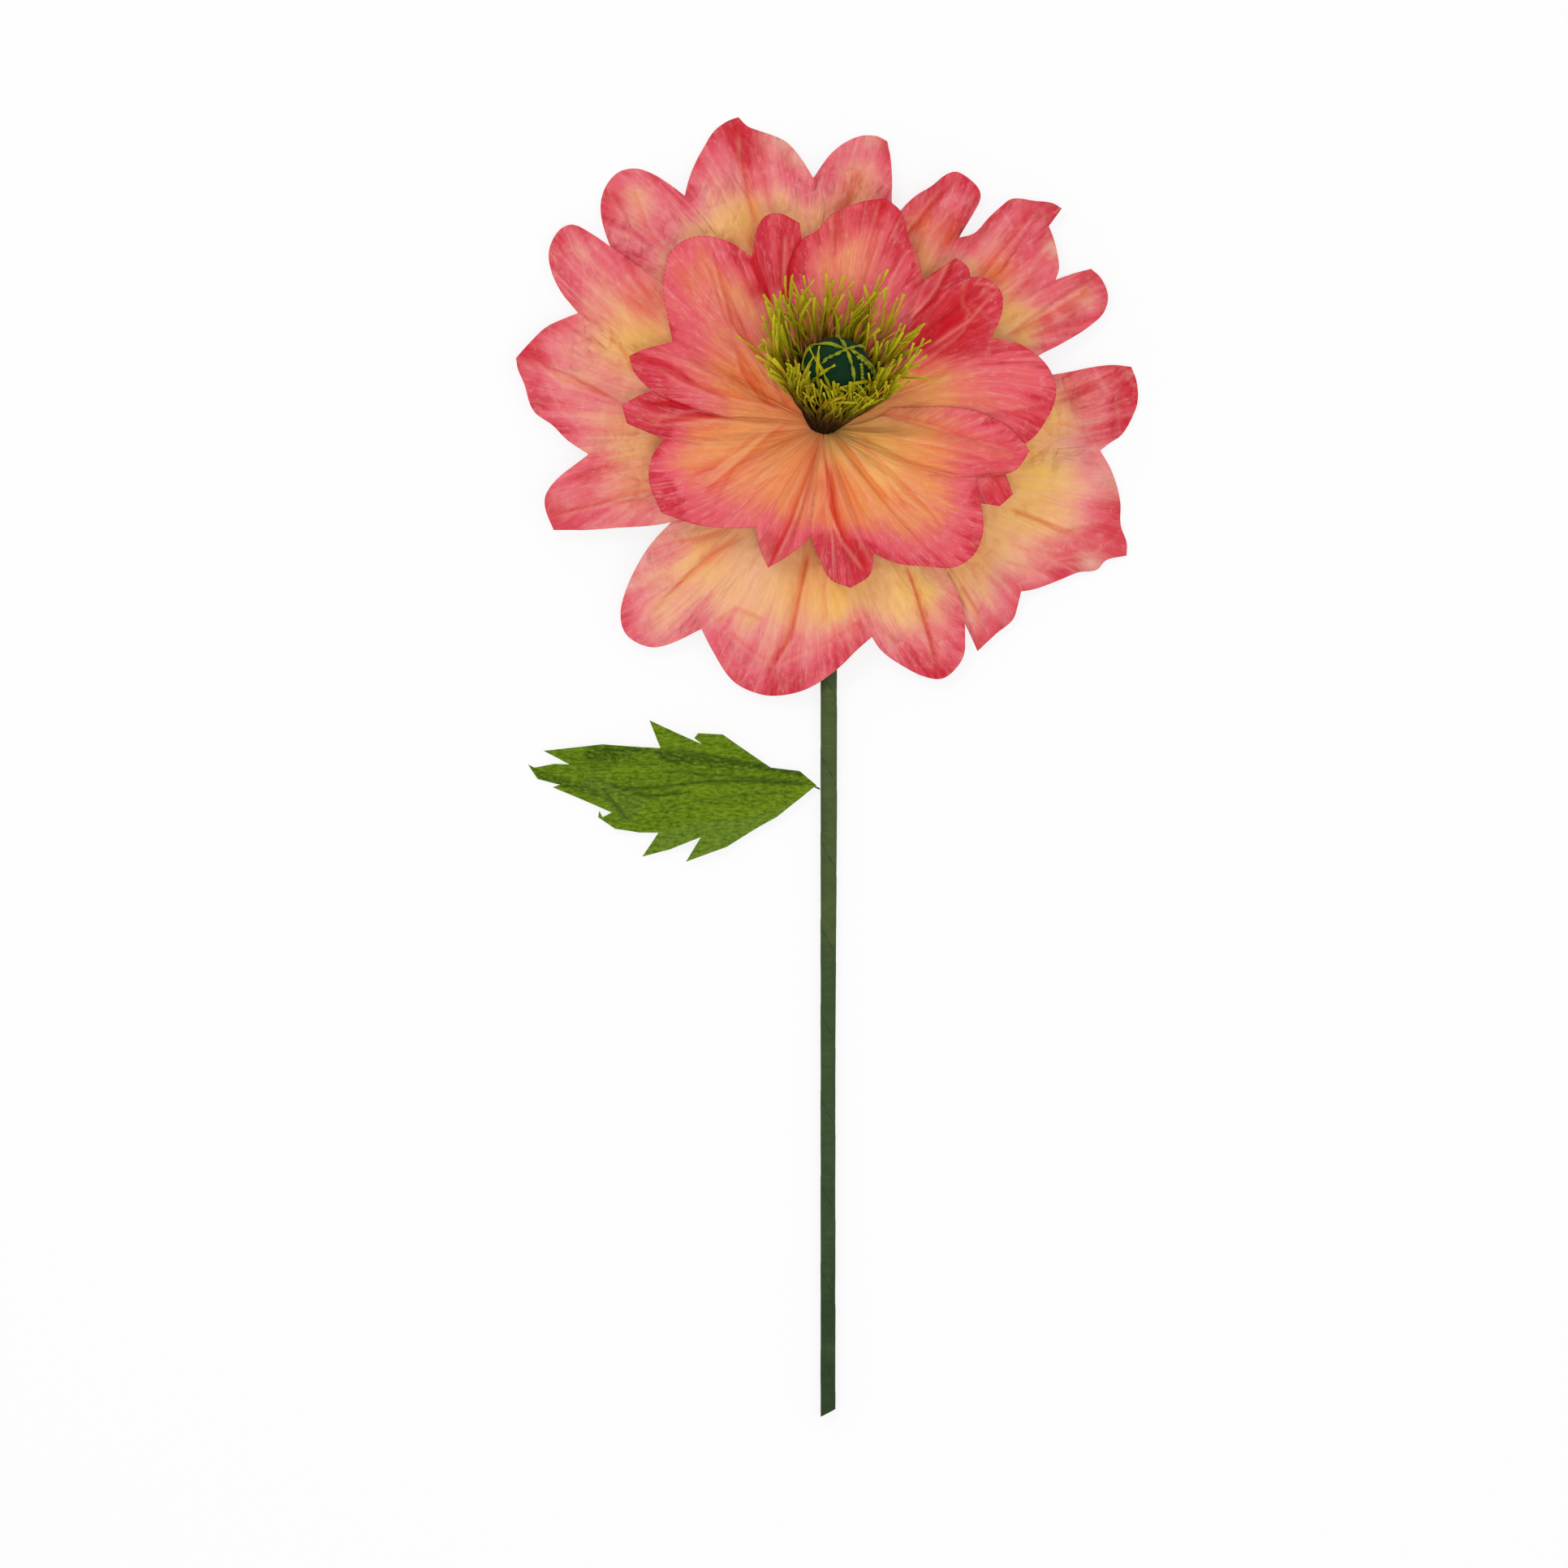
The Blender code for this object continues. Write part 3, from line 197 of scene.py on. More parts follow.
# Creases of each sheet: (points in pixels, height in mm, half width in mm)
CREASES = {
    "outer_petal_1": (
        (((907, 148), (912, 190), (919, 233), (927, 268), (938, 330)), -5.0, 7),
        (((862, 205), (880, 250), (905, 300)), 1.8, 4),
        (((960, 205), (950, 250), (948, 300)), 1.6, 5),
        (((754, 235), (775, 275), (812, 318)), -2.2, 4),
        (((775, 262), (752, 285), (760, 300)), 1.6, 3),
        (((812, 226), (840, 262), (862, 330)), 1.4, 4),
        (((1061, 206), (1059, 232), (1040, 262)), -2.6, 3),
        (((1061, 206), (1030, 200), (1010, 212)), 1.5, 3),
        (((1061, 206), (1086, 250)), 1.3, 3)),
    "outer_petal_2": (
        (((1181, 217), (1150, 252), (1117, 290)), -3.2, 4),
        (((1200, 240), (1170, 262), (1135, 300)), 2.0, 4),
        (((1284, 255), (1262, 290), (1227, 344)), -4.0, 5),
        (((1300, 290), (1270, 330), (1225, 380)), 1.8, 4),
        (((1240, 262), (1225, 300), (1205, 330)), 1.5, 4),
        (((1355, 334), (1300, 370), (1237, 416)), -3.2, 4),
        (((1360, 360), (1320, 385), (1270, 412)), 2.2, 3),
        (((1338, 345), (1345, 360), (1330, 385)), 1.2, 2)),
    "outer_petal_3": (
        (((1385, 467), (1340, 482), (1298, 497)), -2.4, 5),
        (((1392, 500), (1350, 520), (1300, 530)), 1.6, 5),
        (((1380, 640), (1310, 655), (1238, 624)), -2.6, 6),
        (((1385, 655), (1350, 681), (1300, 690), (1240, 660)), 2.6, 4),
        (((1362, 590), (1310, 600), (1262, 585)), 1.8, 6),
        (((1340, 700), (1290, 705), (1235, 690)), -1.8, 4),
        (((1222, 778), (1200, 745), (1181, 717)), -2.4, 3),
        (((1206, 795), (1196, 765), (1190, 735)), 1.6, 2.5),
        (((1290, 560), (1262, 585), (1248, 622)), 1.6, 4)),
    "outer_petal_4": (
        (((952, 850), (952, 824), (977, 773), (988, 722), (997, 671)), -4.2, 6),
        (((952, 824), (905, 790), (885, 770)), 1.8, 4),
        (((952, 824), (1000, 800), (1045, 770)), 1.8, 4),
        (((940, 770), (925, 735), (935, 690)), 1.2, 5),
        (((1024, 750), (1020, 715), (1022, 680)), 1.6, 5),
        (((804, 752), (845, 710), (890, 666)), -3.0, 5),
        (((860, 691), (921, 660)), -1.8, 4),
        (((790, 770), (800, 740), (790, 700)), 1.4, 3),
        (((1156, 829), (1146, 781), (1131, 735), (1113, 690)), -4.2, 5),
        (((1100, 780), (1140, 800), (1180, 790)), 1.2, 4),
        (((1170, 735), (1162, 780), (1158, 820)), 1.6, 4)),
    "outer_petal_5": (
        (((645, 436), (700, 462), (768, 497)), -3.0, 5),
        (((665, 456), (690, 505), (740, 552)), 1.8, 5),
        (((655, 425), (700, 425), (770, 470)), 1.8, 5),
        (((690, 400), (740, 440), (790, 480)), 1.5, 5),
        (((681, 635), (740, 620), (798, 615)), -2.4, 4),
        (((735, 575), (770, 590), (810, 600)), 1.8, 4),
        (((690, 600), (740, 598), (800, 590)), 1.2, 4),
        (((690, 300), (730, 340), (790, 390)), -1.8, 6),
        (((720, 290), (760, 330), (800, 370)), 1.5, 6)),
    "inner_petal_1": (
        (((890, 344), (921, 416), (972, 487)), -2.6, 6),
        (((845, 344), (875, 352), (868, 385)), 1.0, 3),
        (((850, 300), (855, 360), (890, 430)), 1.4, 6),
        (((915, 425), (935, 455), (955, 490)), 1.6, 2),
        (((900, 415), (925, 455), (950, 500)), -1.4, 2),
        (((940, 430), (950, 465), (965, 500)), 1.2, 2),
        (((788, 441), (845, 470), (906, 497)), -2.4, 4),
        (((790, 425), (850, 450), (930, 490)), 1.6, 4),
        (((964, 285), (964, 354)), -3.0, 4)),
    "inner_petal_2": (
        (((773, 492), (830, 502), (890, 515), (960, 522)), -2.8, 4),
        (((770, 510), (830, 515), (900, 520)), 1.6, 3),
        (((860, 604), (926, 533), (987, 525)), 2.2, 5),
        (((826, 560), (880, 545), (960, 528)), 1.6, 6),
        (((870, 640), (906, 574), (998, 528)), -1.8, 5),
        (((905, 640), (940, 585), (1000, 532)), 1.8, 5),
        (((930, 575), (965, 550), (1000, 530)), -1.4, 3),
        (((890, 600), (935, 562), (990, 528)), -1.2, 3),
        (((967, 690), (985, 640), (1013, 543)), -3.4, 4),
        (((945, 660), (975, 610), (1008, 545)), 2.0, 4),
        (((990, 650), (1005, 600), (1014, 545)), 1.6, 3)),
    "inner_petal_3": (
        (((1054, 717), (1030, 640), (1014, 553)), -3.0, 4),
        (((1070, 690), (1042, 630), (1020, 560)), 2.2, 4),
        (((1030, 690), (1018, 630), (1014, 560)), 1.8, 4),
        (((1161, 650), (1100, 600), (1033, 538)), 2.2, 5),
        (((1140, 675), (1085, 615), (1030, 542)), -1.8, 4),
        (((1196, 589), (1120, 570), (1049, 533)), -2.0, 5),
        (((1094, 660), (1062, 600), (1028, 548)), 1.6, 4),
        (((1180, 630), (1110, 585), (1042, 536)), 1.2, 4),
        (((1205, 560), (1130, 545), (1060, 525)), 1.6, 5),
        (((1090, 590), (1060, 565), (1035, 545)), -1.4, 2.5),
        (((1263, 564), (1180, 538), (1089, 512), (1060, 512)), -3.2, 5),
        (((1230, 580), (1150, 560), (1070, 525)), 1.6, 5)),
    "inner_petal_4": (
        (((1285, 500), (1232, 515), (1160, 508), (1094, 505)), -1.8, 6),
        (((1290, 450), (1220, 455), (1150, 480)), 1.8, 8),
        (((1230, 425), (1180, 455), (1120, 490)), 1.2, 5),
        (((1130, 416), (1170, 385), (1207, 354)), -3.0, 4),
        (((1225, 360), (1195, 395), (1145, 430)), 2.6, 4),
        (((1190, 345), (1185, 375), (1200, 395)), 1.6, 3)),
    "inner_petal_5": (
        (((1135, 385), (1158, 352), (1176, 324)), -3.0, 4),
        (((1150, 330), (1135, 360), (1120, 400)), 2.0, 4),
        (((1094, 263), (1083, 288), (1067, 339), (1050, 400)), -2.2, 5),
        (((1040, 262), (1045, 310), (1035, 370)), 1.2, 8),
        (((1120, 300), (1100, 340), (1085, 400)), 1.6, 6)),
}

# Saturated red places, painted shade of deep folds and overlaps, partly deep red dye at the tips:
# (pixel x, pixel y, radius in pixels, strength)
DEEP_RED_AND_SHADE_SPOTS = {
    "inner": ((960, 290, 30, 0.3), (935, 356, 17, 0.8), (815, 445, 16, 0.2), (842, 345, 14, 0.2),
              (900, 395, 12, 0.2), (962, 680, 12, 0.3), (826, 640, 14, 0.2), (1230, 566, 18, 0.3),
              (1060, 700, 14, 0.75), (1044, 676, 11, 0.35), (1250, 555, 14, 0.3), (1200, 560, 12, 0.2),
              (1225, 605, 20, 0.45), (1275, 520, 24, 0.3), (1087, 256, 11, 0.8), (1080, 276, 9, 0.6),
              (1108, 262, 12, 0.4), (1060, 256, 12, 0.3), (1202, 405, 14, 0.6), (1172, 318, 12, 0.4),
              (960, 345, 20, 0.3), (1160, 340, 16, 0.5), (1196, 384, 20, 0.7), (1165, 422, 20, 0.35),
              (1180, 410, 18, 0.7), (1136, 370, 16, 0.45), (1159, 327, 13, 0.5)),
    "outer": ((906, 160, 18, 0.75), (912, 190, 9, 0.6), (1094, 180, 12, 0.3), (757, 240, 18, 0.35),
              (748, 262, 14, 0.3), (1295, 262, 14, 0.7), (1268, 262, 14, 0.3), (1170, 222, 14, 0.3),
              (1340, 345, 22, 0.5), (1322, 386, 16, 0.6), (1360, 380, 14, 0.3), (1292, 398, 12, 0.5),
              (1392, 470, 18, 0.5), (1375, 655, 22, 0.4), (1345, 668, 18, 0.25), (1207, 790, 12, 0.6),
              (1380, 500, 14, 0.2), (950, 842, 18, 0.3), (1156, 826, 13, 0.6), (1146, 808, 10, 0.35),
              (652, 440, 18, 0.4), (682, 632, 20, 0.5), (700, 640, 14, 0.3), (690, 305, 18, 0.3),
              (1214, 232, 12, 0.3)),
}

# Folds that show saturated red, as painted shade: (outline in pixels, strength, softness of the
# outline in pixels)
RED_FOLD_SHADE = (
    (((918, 319), (927, 318), (932, 306), (934, 320), (942, 340), (948, 359), (952, 378), (944, 370),
      (936, 352), (925, 330)), 1.0, 2.5),
    (((986, 289), (988, 297), (986, 301), (981, 315), (977, 337), (976, 350), (977, 362), (969, 370),
      (961, 361), (966, 346), (970, 328), (977, 310), (983, 297)), 1.0, 1.5),
    (((1175, 316), (1179, 319), (1173, 329), (1165, 344), (1159, 358), (1156, 367), (1158, 371), (1147, 378),
      (1138, 385), (1123, 397), (1121, 395), (1133, 384), (1145, 371), (1154, 357), (1161, 343),
      (1168, 329)), 0.9, 1.5),
    (((1186, 353), (1193, 353), (1195, 364), (1194, 388), (1188, 394), (1175, 403), (1163, 412), (1152, 420),
      (1134, 428), (1142, 418), (1156, 409), (1158, 402), (1148, 397), (1163, 388), (1175, 386), (1181, 377),
      (1184, 364)), 1.0, 4.5),
    (((1123, 400), (1150, 376), (1190, 348), (1197, 352), (1196, 402), (1172, 422), (1146, 440),
      (1124, 434)), 0.68, 7),
    (((1203, 371), (1213, 369), (1216, 371), (1209, 379), (1205, 383), (1202, 377)), 0.8, 2),
    (((777, 442), (808, 440), (829, 450), (841, 457), (850, 466), (860, 474), (849, 472), (840, 465),
      (828, 458), (811, 451), (780, 447)), 0.7, 3),
    (((794, 498), (808, 495), (824, 494), (818, 488), (840, 497), (860, 506), (845, 506), (830, 503),
      (815, 501)), 0.95, 2),
    (((818, 520), (840, 511), (862, 507), (875, 509), (890, 515), (863, 517), (840, 520)), 0.75, 3),
    (((980, 630), (977, 645), (969, 662), (956, 690), (949, 700), (946, 697), (958, 672), (970, 650)),
     0.7, 3),
)

# Folds of the paper, with painted shade deep in colour on one side, sharp on the other, and a painted
# highlight line past the sharp edge: (pixels along it, width in pixels of the deep side, which is on its
# left, or on its right where minus, strength)
FOLDS = {
    "inner": (
        (((1011, 536), (1003, 563), (992, 595), (981, 626), (964, 666), (949, 697)), -7, 0.8),
        (((996, 585), (981, 626), (964, 666), (949, 697)), -12, 0.4),
        (((1018, 562), (1020, 590), (1023, 626), (1029, 643), (1041, 668), (1062, 695), (1072, 708)),
         13, 0.9),
        (((1013, 545), (1016, 575), (1018, 610), (1014, 640)), -3, 0.4),
        (((975, 517), (946, 538), (915, 567), (880, 597), (862, 608)), 9, 0.6),
        (((945, 530), (915, 552), (880, 577), (850, 590)), -8, 0.5),
        (((987, 524), (996, 535)), 4, 0.9),
        (((925, 604), (950, 590), (968, 585)), -4, 0.25),
        (((1034, 533), (1043, 548), (1065, 580), (1100, 621)), -7, 0.6),
        (((1041, 534), (1076, 560), (1100, 584), (1140, 625), (1165, 655)), -3, 0.45),
        (((1078, 566), (1098, 600), (1120, 630)), -5, 0.35),
        (((1062, 527), (1120, 545), (1190, 560), (1228, 572)), -5, 0.35),
        (((1066, 513), (1100, 512), (1150, 524), (1184, 537), (1229, 548), (1254, 556)), 4, 0.5),
        (((1095, 507), (1153, 491), (1205, 492), (1262, 493)), -4, 0.3),
        (((1176, 317), (1170, 329), (1163, 344), (1156, 358), (1147, 371), (1133, 385), (1122, 395)), 5, 0.8),
        (((964, 286), (963, 310), (962, 335), (962, 360)), -4, 0.9),
        (((876, 305), (884, 333), (889, 352), (895, 373), (902, 400), (921, 425), (972, 487)), 4, 0.6),
        (((868, 320), (880, 350), (890, 385), (905, 415)), 3, 0.35),
        (((1197, 373), (1194, 399), (1190, 410), (1178, 422), (1161, 434), (1147, 445), (1120, 460)),
         11, 0.55),
        (((1198, 354), (1215, 355), (1233, 361)), -4, 0.6),
        (((810, 450), (840, 470), (875, 484), (905, 493)), 3, 0.5),
        (((845, 470), (886, 486), (940, 497), (975, 504)), 4, 0.5),
        (((905, 430), (915, 460), (935, 490), (962, 508)), 9, 0.5),
        (((950, 465), (958, 485), (972, 503)), 5, 0.4),
        (((845, 441), (869, 457), (900, 478)), 2.5, 0.3),
        (((786, 519), (821, 521), (863, 517), (890, 516)), 4, 0.5),
        (((781, 509), (806, 514), (818, 512)), 2, 0.5),
        (((1088, 246), (1081, 270), (1072, 300), (1065, 330)), 4, 0.6),
        (((1110, 262), (1120, 300), (1130, 340)), -4, 0.35),
        (((1290, 470), (1240, 462), (1180, 470), (1120, 488)), 4, 0.25),
        (((1180, 515), (1213, 511), (1294, 501)), -4, 0.4),
    ),
    "outer": (
        (((913, 149), (915, 198), (921, 238), (931, 274), (944, 320)), 7, 0.6),
        (((1059, 203), (1053, 228), (1042, 253), (1032, 280)), -5, 0.55),
        (((779, 223), (797, 278), (820, 309)), -5, 0.4),
        (((750, 230), (770, 262), (800, 292)), 4, 0.3),
        (((1165, 231), (1146, 252), (1128, 274), (1105, 305)), 5, 0.6),
        (((1276, 256), (1255, 285), (1234, 309), (1204, 349)), -6, 0.6),
        (((1300, 300), (1270, 340), (1235, 380)), 5, 0.35),
        (((1352, 347), (1322, 368), (1295, 385), (1239, 415)), 6, 0.65),
        (((1345, 395), (1305, 405), (1262, 418)), -4, 0.4),
        (((1384, 453), (1330, 476), (1300, 486)), 5, 0.45),
        (((1385, 520), (1340, 530), (1296, 520)), -5, 0.3),
        (((1378, 637), (1330, 660), (1280, 638), (1240, 622)), 5, 0.4),
        (((1340, 690), (1300, 690), (1238, 668)), -4, 0.3),
        (((1218, 790), (1203, 752), (1184, 717)), 5, 0.45),
        (((951, 846), (953, 820), (976, 784), (984, 738), (999, 678)), 7, 0.6),
        (((953, 820), (915, 795), (885, 770)), -5, 0.3),
        (((953, 820), (1000, 800), (1045, 778)), 5, 0.3),
        (((1117, 695), (1133, 748), (1148, 799), (1156, 826)), 3, 0.85),
        (((820, 733), (865, 693), (916, 652)), -5, 0.55),
        (((830, 668), (875, 658), (906, 647)), -5, 0.6),
        (((875, 769), (906, 748), (946, 764)), -5, 0.4),
        (((1020, 770), (1016, 730), (1022, 690)), 5, 0.4),
        (((653, 435), (688, 465), (754, 491)), 5, 0.45),
        (((749, 415), (769, 435), (782, 462)), 5, 0.5),
        (((700, 300), (740, 338), (800, 385)), -5, 0.35),
        (((676, 636), (744, 618), (806, 602)), 5, 0.55),
        (((700, 585), (750, 590), (805, 592)), -4, 0.3),
    ),
}

# Places with more pink in the dye than the way out from the middle gives them, or less where minus.
# Many of them, those close to a multiple of 40 across and 20 more than one down, answer differences
# between render and photograph that were read at even steps.
PINK = {
    "inner": ((932, 572, 30, 0.36), (880, 606, 36, 0.24), (812, 602, 27, 0.44), (838, 572, 26, -0.3),
              (835, 356, 28, -0.27), (866, 304, 36, -0.34), (1080, 262, 20, 0.15), (958, 305, 20, 0.1),
              (961, 338, 26, 0.52), (953, 667, 28, 0.52), (1046, 694, 34, 0.92), (1022, 672, 23, 0.55),
              (1075, 702, 22, 0.35), (1298, 460, 28, -0.13), (802, 511, 30, 0.55), (842, 500, 18, 0.14),
              (1200, 386, 27, 0.36), (1164, 420, 30, 0.52), (1208, 424, 22, 0.25), (1160, 343, 25, 0.4),
              (1080, 340, 26, 0.2), (1040, 300, 20, 0.12), (1230, 590, 18, 0.2), (958, 412, 36, 0.25),
              (925, 385, 20, 0.12), (1120, 430, 32, 0.4), (1050, 408, 40, 0.2), (880, 440, 32, 0.14),
              (836, 420, 22, -0.12), (1240, 557, 30, -0.24), (1000, 622, 20, -0.18), (1240, 500, 20, 0.08)),
    "outer": ((912, 180, 23, 0.42), (878, 192, 29, -0.36), (930, 230, 40, 0.32), (1356, 383, 28, -0.3),
              (1140, 778, 34, 0.36), (818, 778, 40, -0.38), (726, 604, 34, 0.3), (688, 624, 24, -0.22),
              (694, 306, 34, -0.32), (788, 380, 34, 0.3), (804, 298, 28, 0.38), (757, 300, 22, -0.14),
              (776, 590, 34, 0.3), (944, 790, 46, 0.5), (1026, 790, 42, 0.42), (916, 832, 20, -0.2),
              (780, 225, 34, -0.35), (1040, 182, 26, -0.28), (1240, 328, 36, 0.42), (1161, 276, 34, 0.52),
              (746, 464, 38, 0.47), (766, 510, 34, 0.3), (1384, 504, 22, 0.18), (1358, 468, 20, -0.13),
              (1228, 445, 22, 0.3), (1240, 418, 20, -0.3), (848, 726, 50, 0.25), (760, 258, 26, -0.12),
              (890, 300, 20, -0.15), (720, 380, 21, -0.27), (1282, 262, 22, -0.27), (1360, 545, 26, -0.12),
              (1200, 740, 30, 0.12), (1272, 660, 40, 0.25), (1332, 502, 26, 0.4), (1200, 262, 22, -0.12),
              (1322, 336, 30, -0.34), (1280, 340, 18, -0.12), (680, 420, 24, -0.18), (640, 460, 24, -0.16),
              (1280, 385, 22, 0.16)),
}

# Painted light where the white shines through thin places of the rims, and at the first place painted
# light on a shaded spot: (x, y, radius, strength)
LIGHT_THROUGH_RIMS = ((1243, 412, 12, 0.3), (962, 172, 22, 0.5), (982, 192, 12, 0.6), (1075, 172, 14, 0.4),
        (1298, 305, 12, 0.6), (1362, 588, 26, 0.45), (1345, 694, 16, 0.6), (786, 690, 16, 0.5),
        (776, 720, 12, 0.4), (925, 700, 40, 0.25), (1222, 300, 16, 0.3), (1260, 690, 30, 0.2),
        (1320, 560, 26, 0.25))

# Places where the dye is yellow, and painted light on the shaded throat at the first three inner ones:
# (x, y, radius, strength)
GOLD_AND_LIGHT_SPOTS = {
    "inner": ((1045, 545, 26, 1.0), (1085, 540, 26, 0.9), (1120, 536, 24, 0.6), (1044, 312, 30, 0.9),
              (905, 370, 26, 0.7), (930, 545, 40, 0.4), (1082, 580, 24, 0.8), (1150, 465, 36, 0.4)),
    "outer": ((916, 275, 30, 0.8), (775, 415, 40, 1.0), (770, 560, 26, 0.5), (860, 690, 34, 0.5),
              (1030, 735, 34, 1.0), (990, 720, 40, 0.6), (1130, 730, 34, 0.9), (1190, 700, 26, 0.4),
              (1275, 585, 34, 1.2), (1262, 640, 40, 0.9), (1300, 500, 36, 0.8), (1245, 400, 30, 0.8)),
}

# Places where it is a strong orange, orange dye with painted shade in folds, where the sheets lie over
# each other and under the inner petals
ORANGE_AND_SHADE_SPOTS = {
    "inner": ((1150, 540, 24, 0.3), (960, 550, 26, 0.4), (975, 500, 34, 0.7), (920, 470, 24, 0.9),
              (945, 497, 16, 0.9), (1016, 600, 10, 1.0), (1024, 640, 12, 1.0), (1060, 610, 14, 0.4),
              (1230, 590, 14, 0.2)),
    "outer": ((1010, 690, 50, 0.5), (1200, 690, 24, 0.4), (930, 300, 14, 0.7), (1150, 290, 22, 0.8),
              (1135, 280, 16, 0.9), (1226, 336, 20, 0.95), (1060, 235, 18, 0.7), (1035, 260, 20, 0.5),
              (880, 672, 20, 0.7), (998, 690, 16, 0.5), (806, 372, 26, 0.6), (784, 600, 26, 0.55),
              (764, 526, 20, 0.45), (1138, 306, 15, 0.8)),
}


def spot(px, py):
    """Metres in the frame for a pixel of the photograph's frame."""
    return (px - PIXEL_X) * PIXEL, (PIXEL_Y - py) * PIXEL


def mix(a, b, t):
    """The value at a share t of the way from a to b."""
    return a * (1.0 - t) + b * t


def smooth(low, high, value):
    """0 at low, 1 at high and an S curve between them. Low may be the greater of the two."""
    t = np.clip((value - low) / (high - low), 0.0, 1.0)
    return t * t * (3.0 - 2.0 * t)


def head_axes():
    """Across, up and along the axis of the flower head, as in the CAD source."""
    along = np.array((math.sin(LEAN) * math.cos(LEAN_AZIMUTH), math.sin(LEAN) * math.sin(LEAN_AZIMUTH),
                      math.cos(LEAN)))
    across = np.cross((0.0, 1.0, 0.0), along)
    across /= np.linalg.norm(across)
    return across, np.cross(along, across), along


ACROSS, UP, AXIS = head_axes()
BALL_CENTRE = THROAT + AXIS * STALK_LENGTH


def squeeze(turn, radius):
    """The radius of the gathered ring at a turn, pressed in at its front, where its tip shows."""
    pressed = PRESS_SHARE * smooth(0.0, 1.0, -np.sin(turn))
    return PRESSED_RADIUS + (radius - PRESSED_RADIUS) * (1.0 - pressed)


def lattice(seed):
    """A square of random values from 0 to 1, the same ones each time for a seed."""
    return np.random.RandomState(seed).rand(LATTICE, LATTICE)


def falloff(away, width):
    """1 on a line or at a place and less away from it, as a bell curve."""
    return np.exp(-(away / width) ** 2)


def even_turns(sides):
    """The turn of each side of a ring."""
    return 2 * math.pi * np.arange(sides) / sides


def spots(points):
    """Metres in the frame for a list of pixels."""
    return [spot(*point) for point in points]


def noise(x, y, cell, seed):
    """Smooth value noise from 0 to 1 with one value per cell."""
    grid = lattice(seed)
    u, v = x / cell + 31.7 * seed, y / cell + 17.3 * seed
    i, j = np.floor(u).astype(int), np.floor(v).astype(int)
    fu, fv = u - i, v - j
    fu, fv = fu * fu * (3 - 2 * fu), fv * fv * (3 - 2 * fv)
    i, j, after_i, after_j = i % LATTICE, j % LATTICE, (i + 1) % LATTICE, (j + 1) % LATTICE
    a, b = grid[i, j], grid[after_i, j]
    c, d = grid[i, after_j], grid[after_i, after_j]
    return mix(mix(a, b, fu), mix(c, d, fu), fv)


def cells(x, y, cell, seed):
    """Distances to the nearest and second nearest of one random point per cell, in cells."""
    place = np.random.RandomState(seed)
    jx, jy = place.rand(LATTICE, LATTICE), place.rand(LATTICE, LATTICE)
    u, v = x / cell + 11.3 * seed, y / cell + 7.9 * seed
    i, j = np.floor(u).astype(int), np.floor(v).astype(int)
    near = np.full(u.shape, 9.0)
    second = np.full(u.shape, 9.0)
    for di in (-1, 0, 1):
        for dj in (-1, 0, 1):
            ci, cj = i + di, j + dj
            cell_at = ci % LATTICE, cj % LATTICE
            away = np.hypot(ci + jx[cell_at] - u, cj + jy[cell_at] - v)
            second = np.minimum(second, np.maximum(near, away))
            near = np.minimum(near, away)
    return near, second


def line_distance(x, y, points):
    """Distance to a polyline, plus on its left, and the nearest point's share of the way along it."""
    steps = [math.dist(a, b) for a, b in zip(points, points[1:])]
    total = sum(steps)
    best = np.full(x.shape, 1e9)
    along = np.zeros(x.shape)
    done = 0.0
    for (ax, ay), (bx, by), step in zip(points, points[1:], steps):
        t = np.clip(((x - ax) * (bx - ax) + (y - ay) * (by - ay)) / (step * step), 0.0, 1.0)
        away = np.hypot(x - mix(ax, bx, t), y - mix(ay, by, t))
        left = (bx - ax) * (y - ay) - (by - ay) * (x - ax) >= 0.0
        closer = away < np.abs(best)
        best = np.where(closer, np.where(left, away, -away), best)
        along = np.where(closer, (done + t * step) / total, along)
        done += step
    return best, along


def outline_share(x, y, points, soft):
    """1 inside a closed outline, 0 outside it, and between over the soft width."""
    away = np.abs(line_distance(x, y, [*points, points[0]])[0])
    inside = np.zeros(x.shape, dtype=bool)
    for (ax, ay), (bx, by) in zip(points, [*points[1:], points[0]]):
        crosses = (ay > y) != (by > y)
        inside ^= crosses & (x < (bx - ax) * (y - ay) / (by - ay + 1e-12) + ax)
    return smooth(-soft, soft, np.where(inside, away, -away))


def rim_curve(rim, columns):
    """The sheet's free edge as smooth columns: share along it, angle in radians and reach share."""
    flat = np.array([(r * math.cos(math.radians(a)), r * math.sin(math.radians(a))) for a, r in rim])
    steps = np.linalg.norm(np.diff(flat, axis=0), axis=1)
    turns = np.diff([a for a, _ in rim])
    shares = np.concatenate([[0.0], np.cumsum(steps / steps.sum() + turns / turns.sum()) / 2])
    ways = np.diff(flat, axis=0) / steps[:, None]
    into, away = np.zeros_like(flat), np.zeros_like(flat)
    for k in range(len(flat)):
        before, after = ways[max(k - 1, 0)], ways[min(k, len(ways) - 1)]
        if before @ after > math.cos(SHARP_CORNER):
            before = after = (before + after) / np.linalg.norm(before + after)
        into[k], away[k] = before, after
    out_share, out_spot = [], []
    for k in range(len(flat) - 1):
        count = max(3, round(columns * (shares[k + 1] - shares[k])))
        last = k == len(flat) - 2
        for t in np.linspace(0.0, 1.0, count + 1)[:None if last else -1]:
            h = (2 * t ** 3 - 3 * t ** 2 + 1, t ** 3 - 2 * t ** 2 + t,
                 3 * t ** 2 - 2 * t ** 3, t ** 3 - t ** 2)
            out_spot.append(flat[k] * h[0] + away[k] * steps[k] * h[1] + flat[k + 1] * h[2]
                            + into[k + 1] * steps[k] * h[3])
            out_share.append(mix(shares[k], shares[k + 1], t))
    out_spot = np.array(out_spot)
    angle = np.unwrap(np.arctan2(out_spot[:, 1], out_spot[:, 0]))
    first = math.radians(rim[0][0])
    angle += round((first - angle[0]) / (2 * math.pi)) * 2 * math.pi
    return np.array(out_share), angle, np.hypot(out_spot[:, 0], out_spot[:, 1])


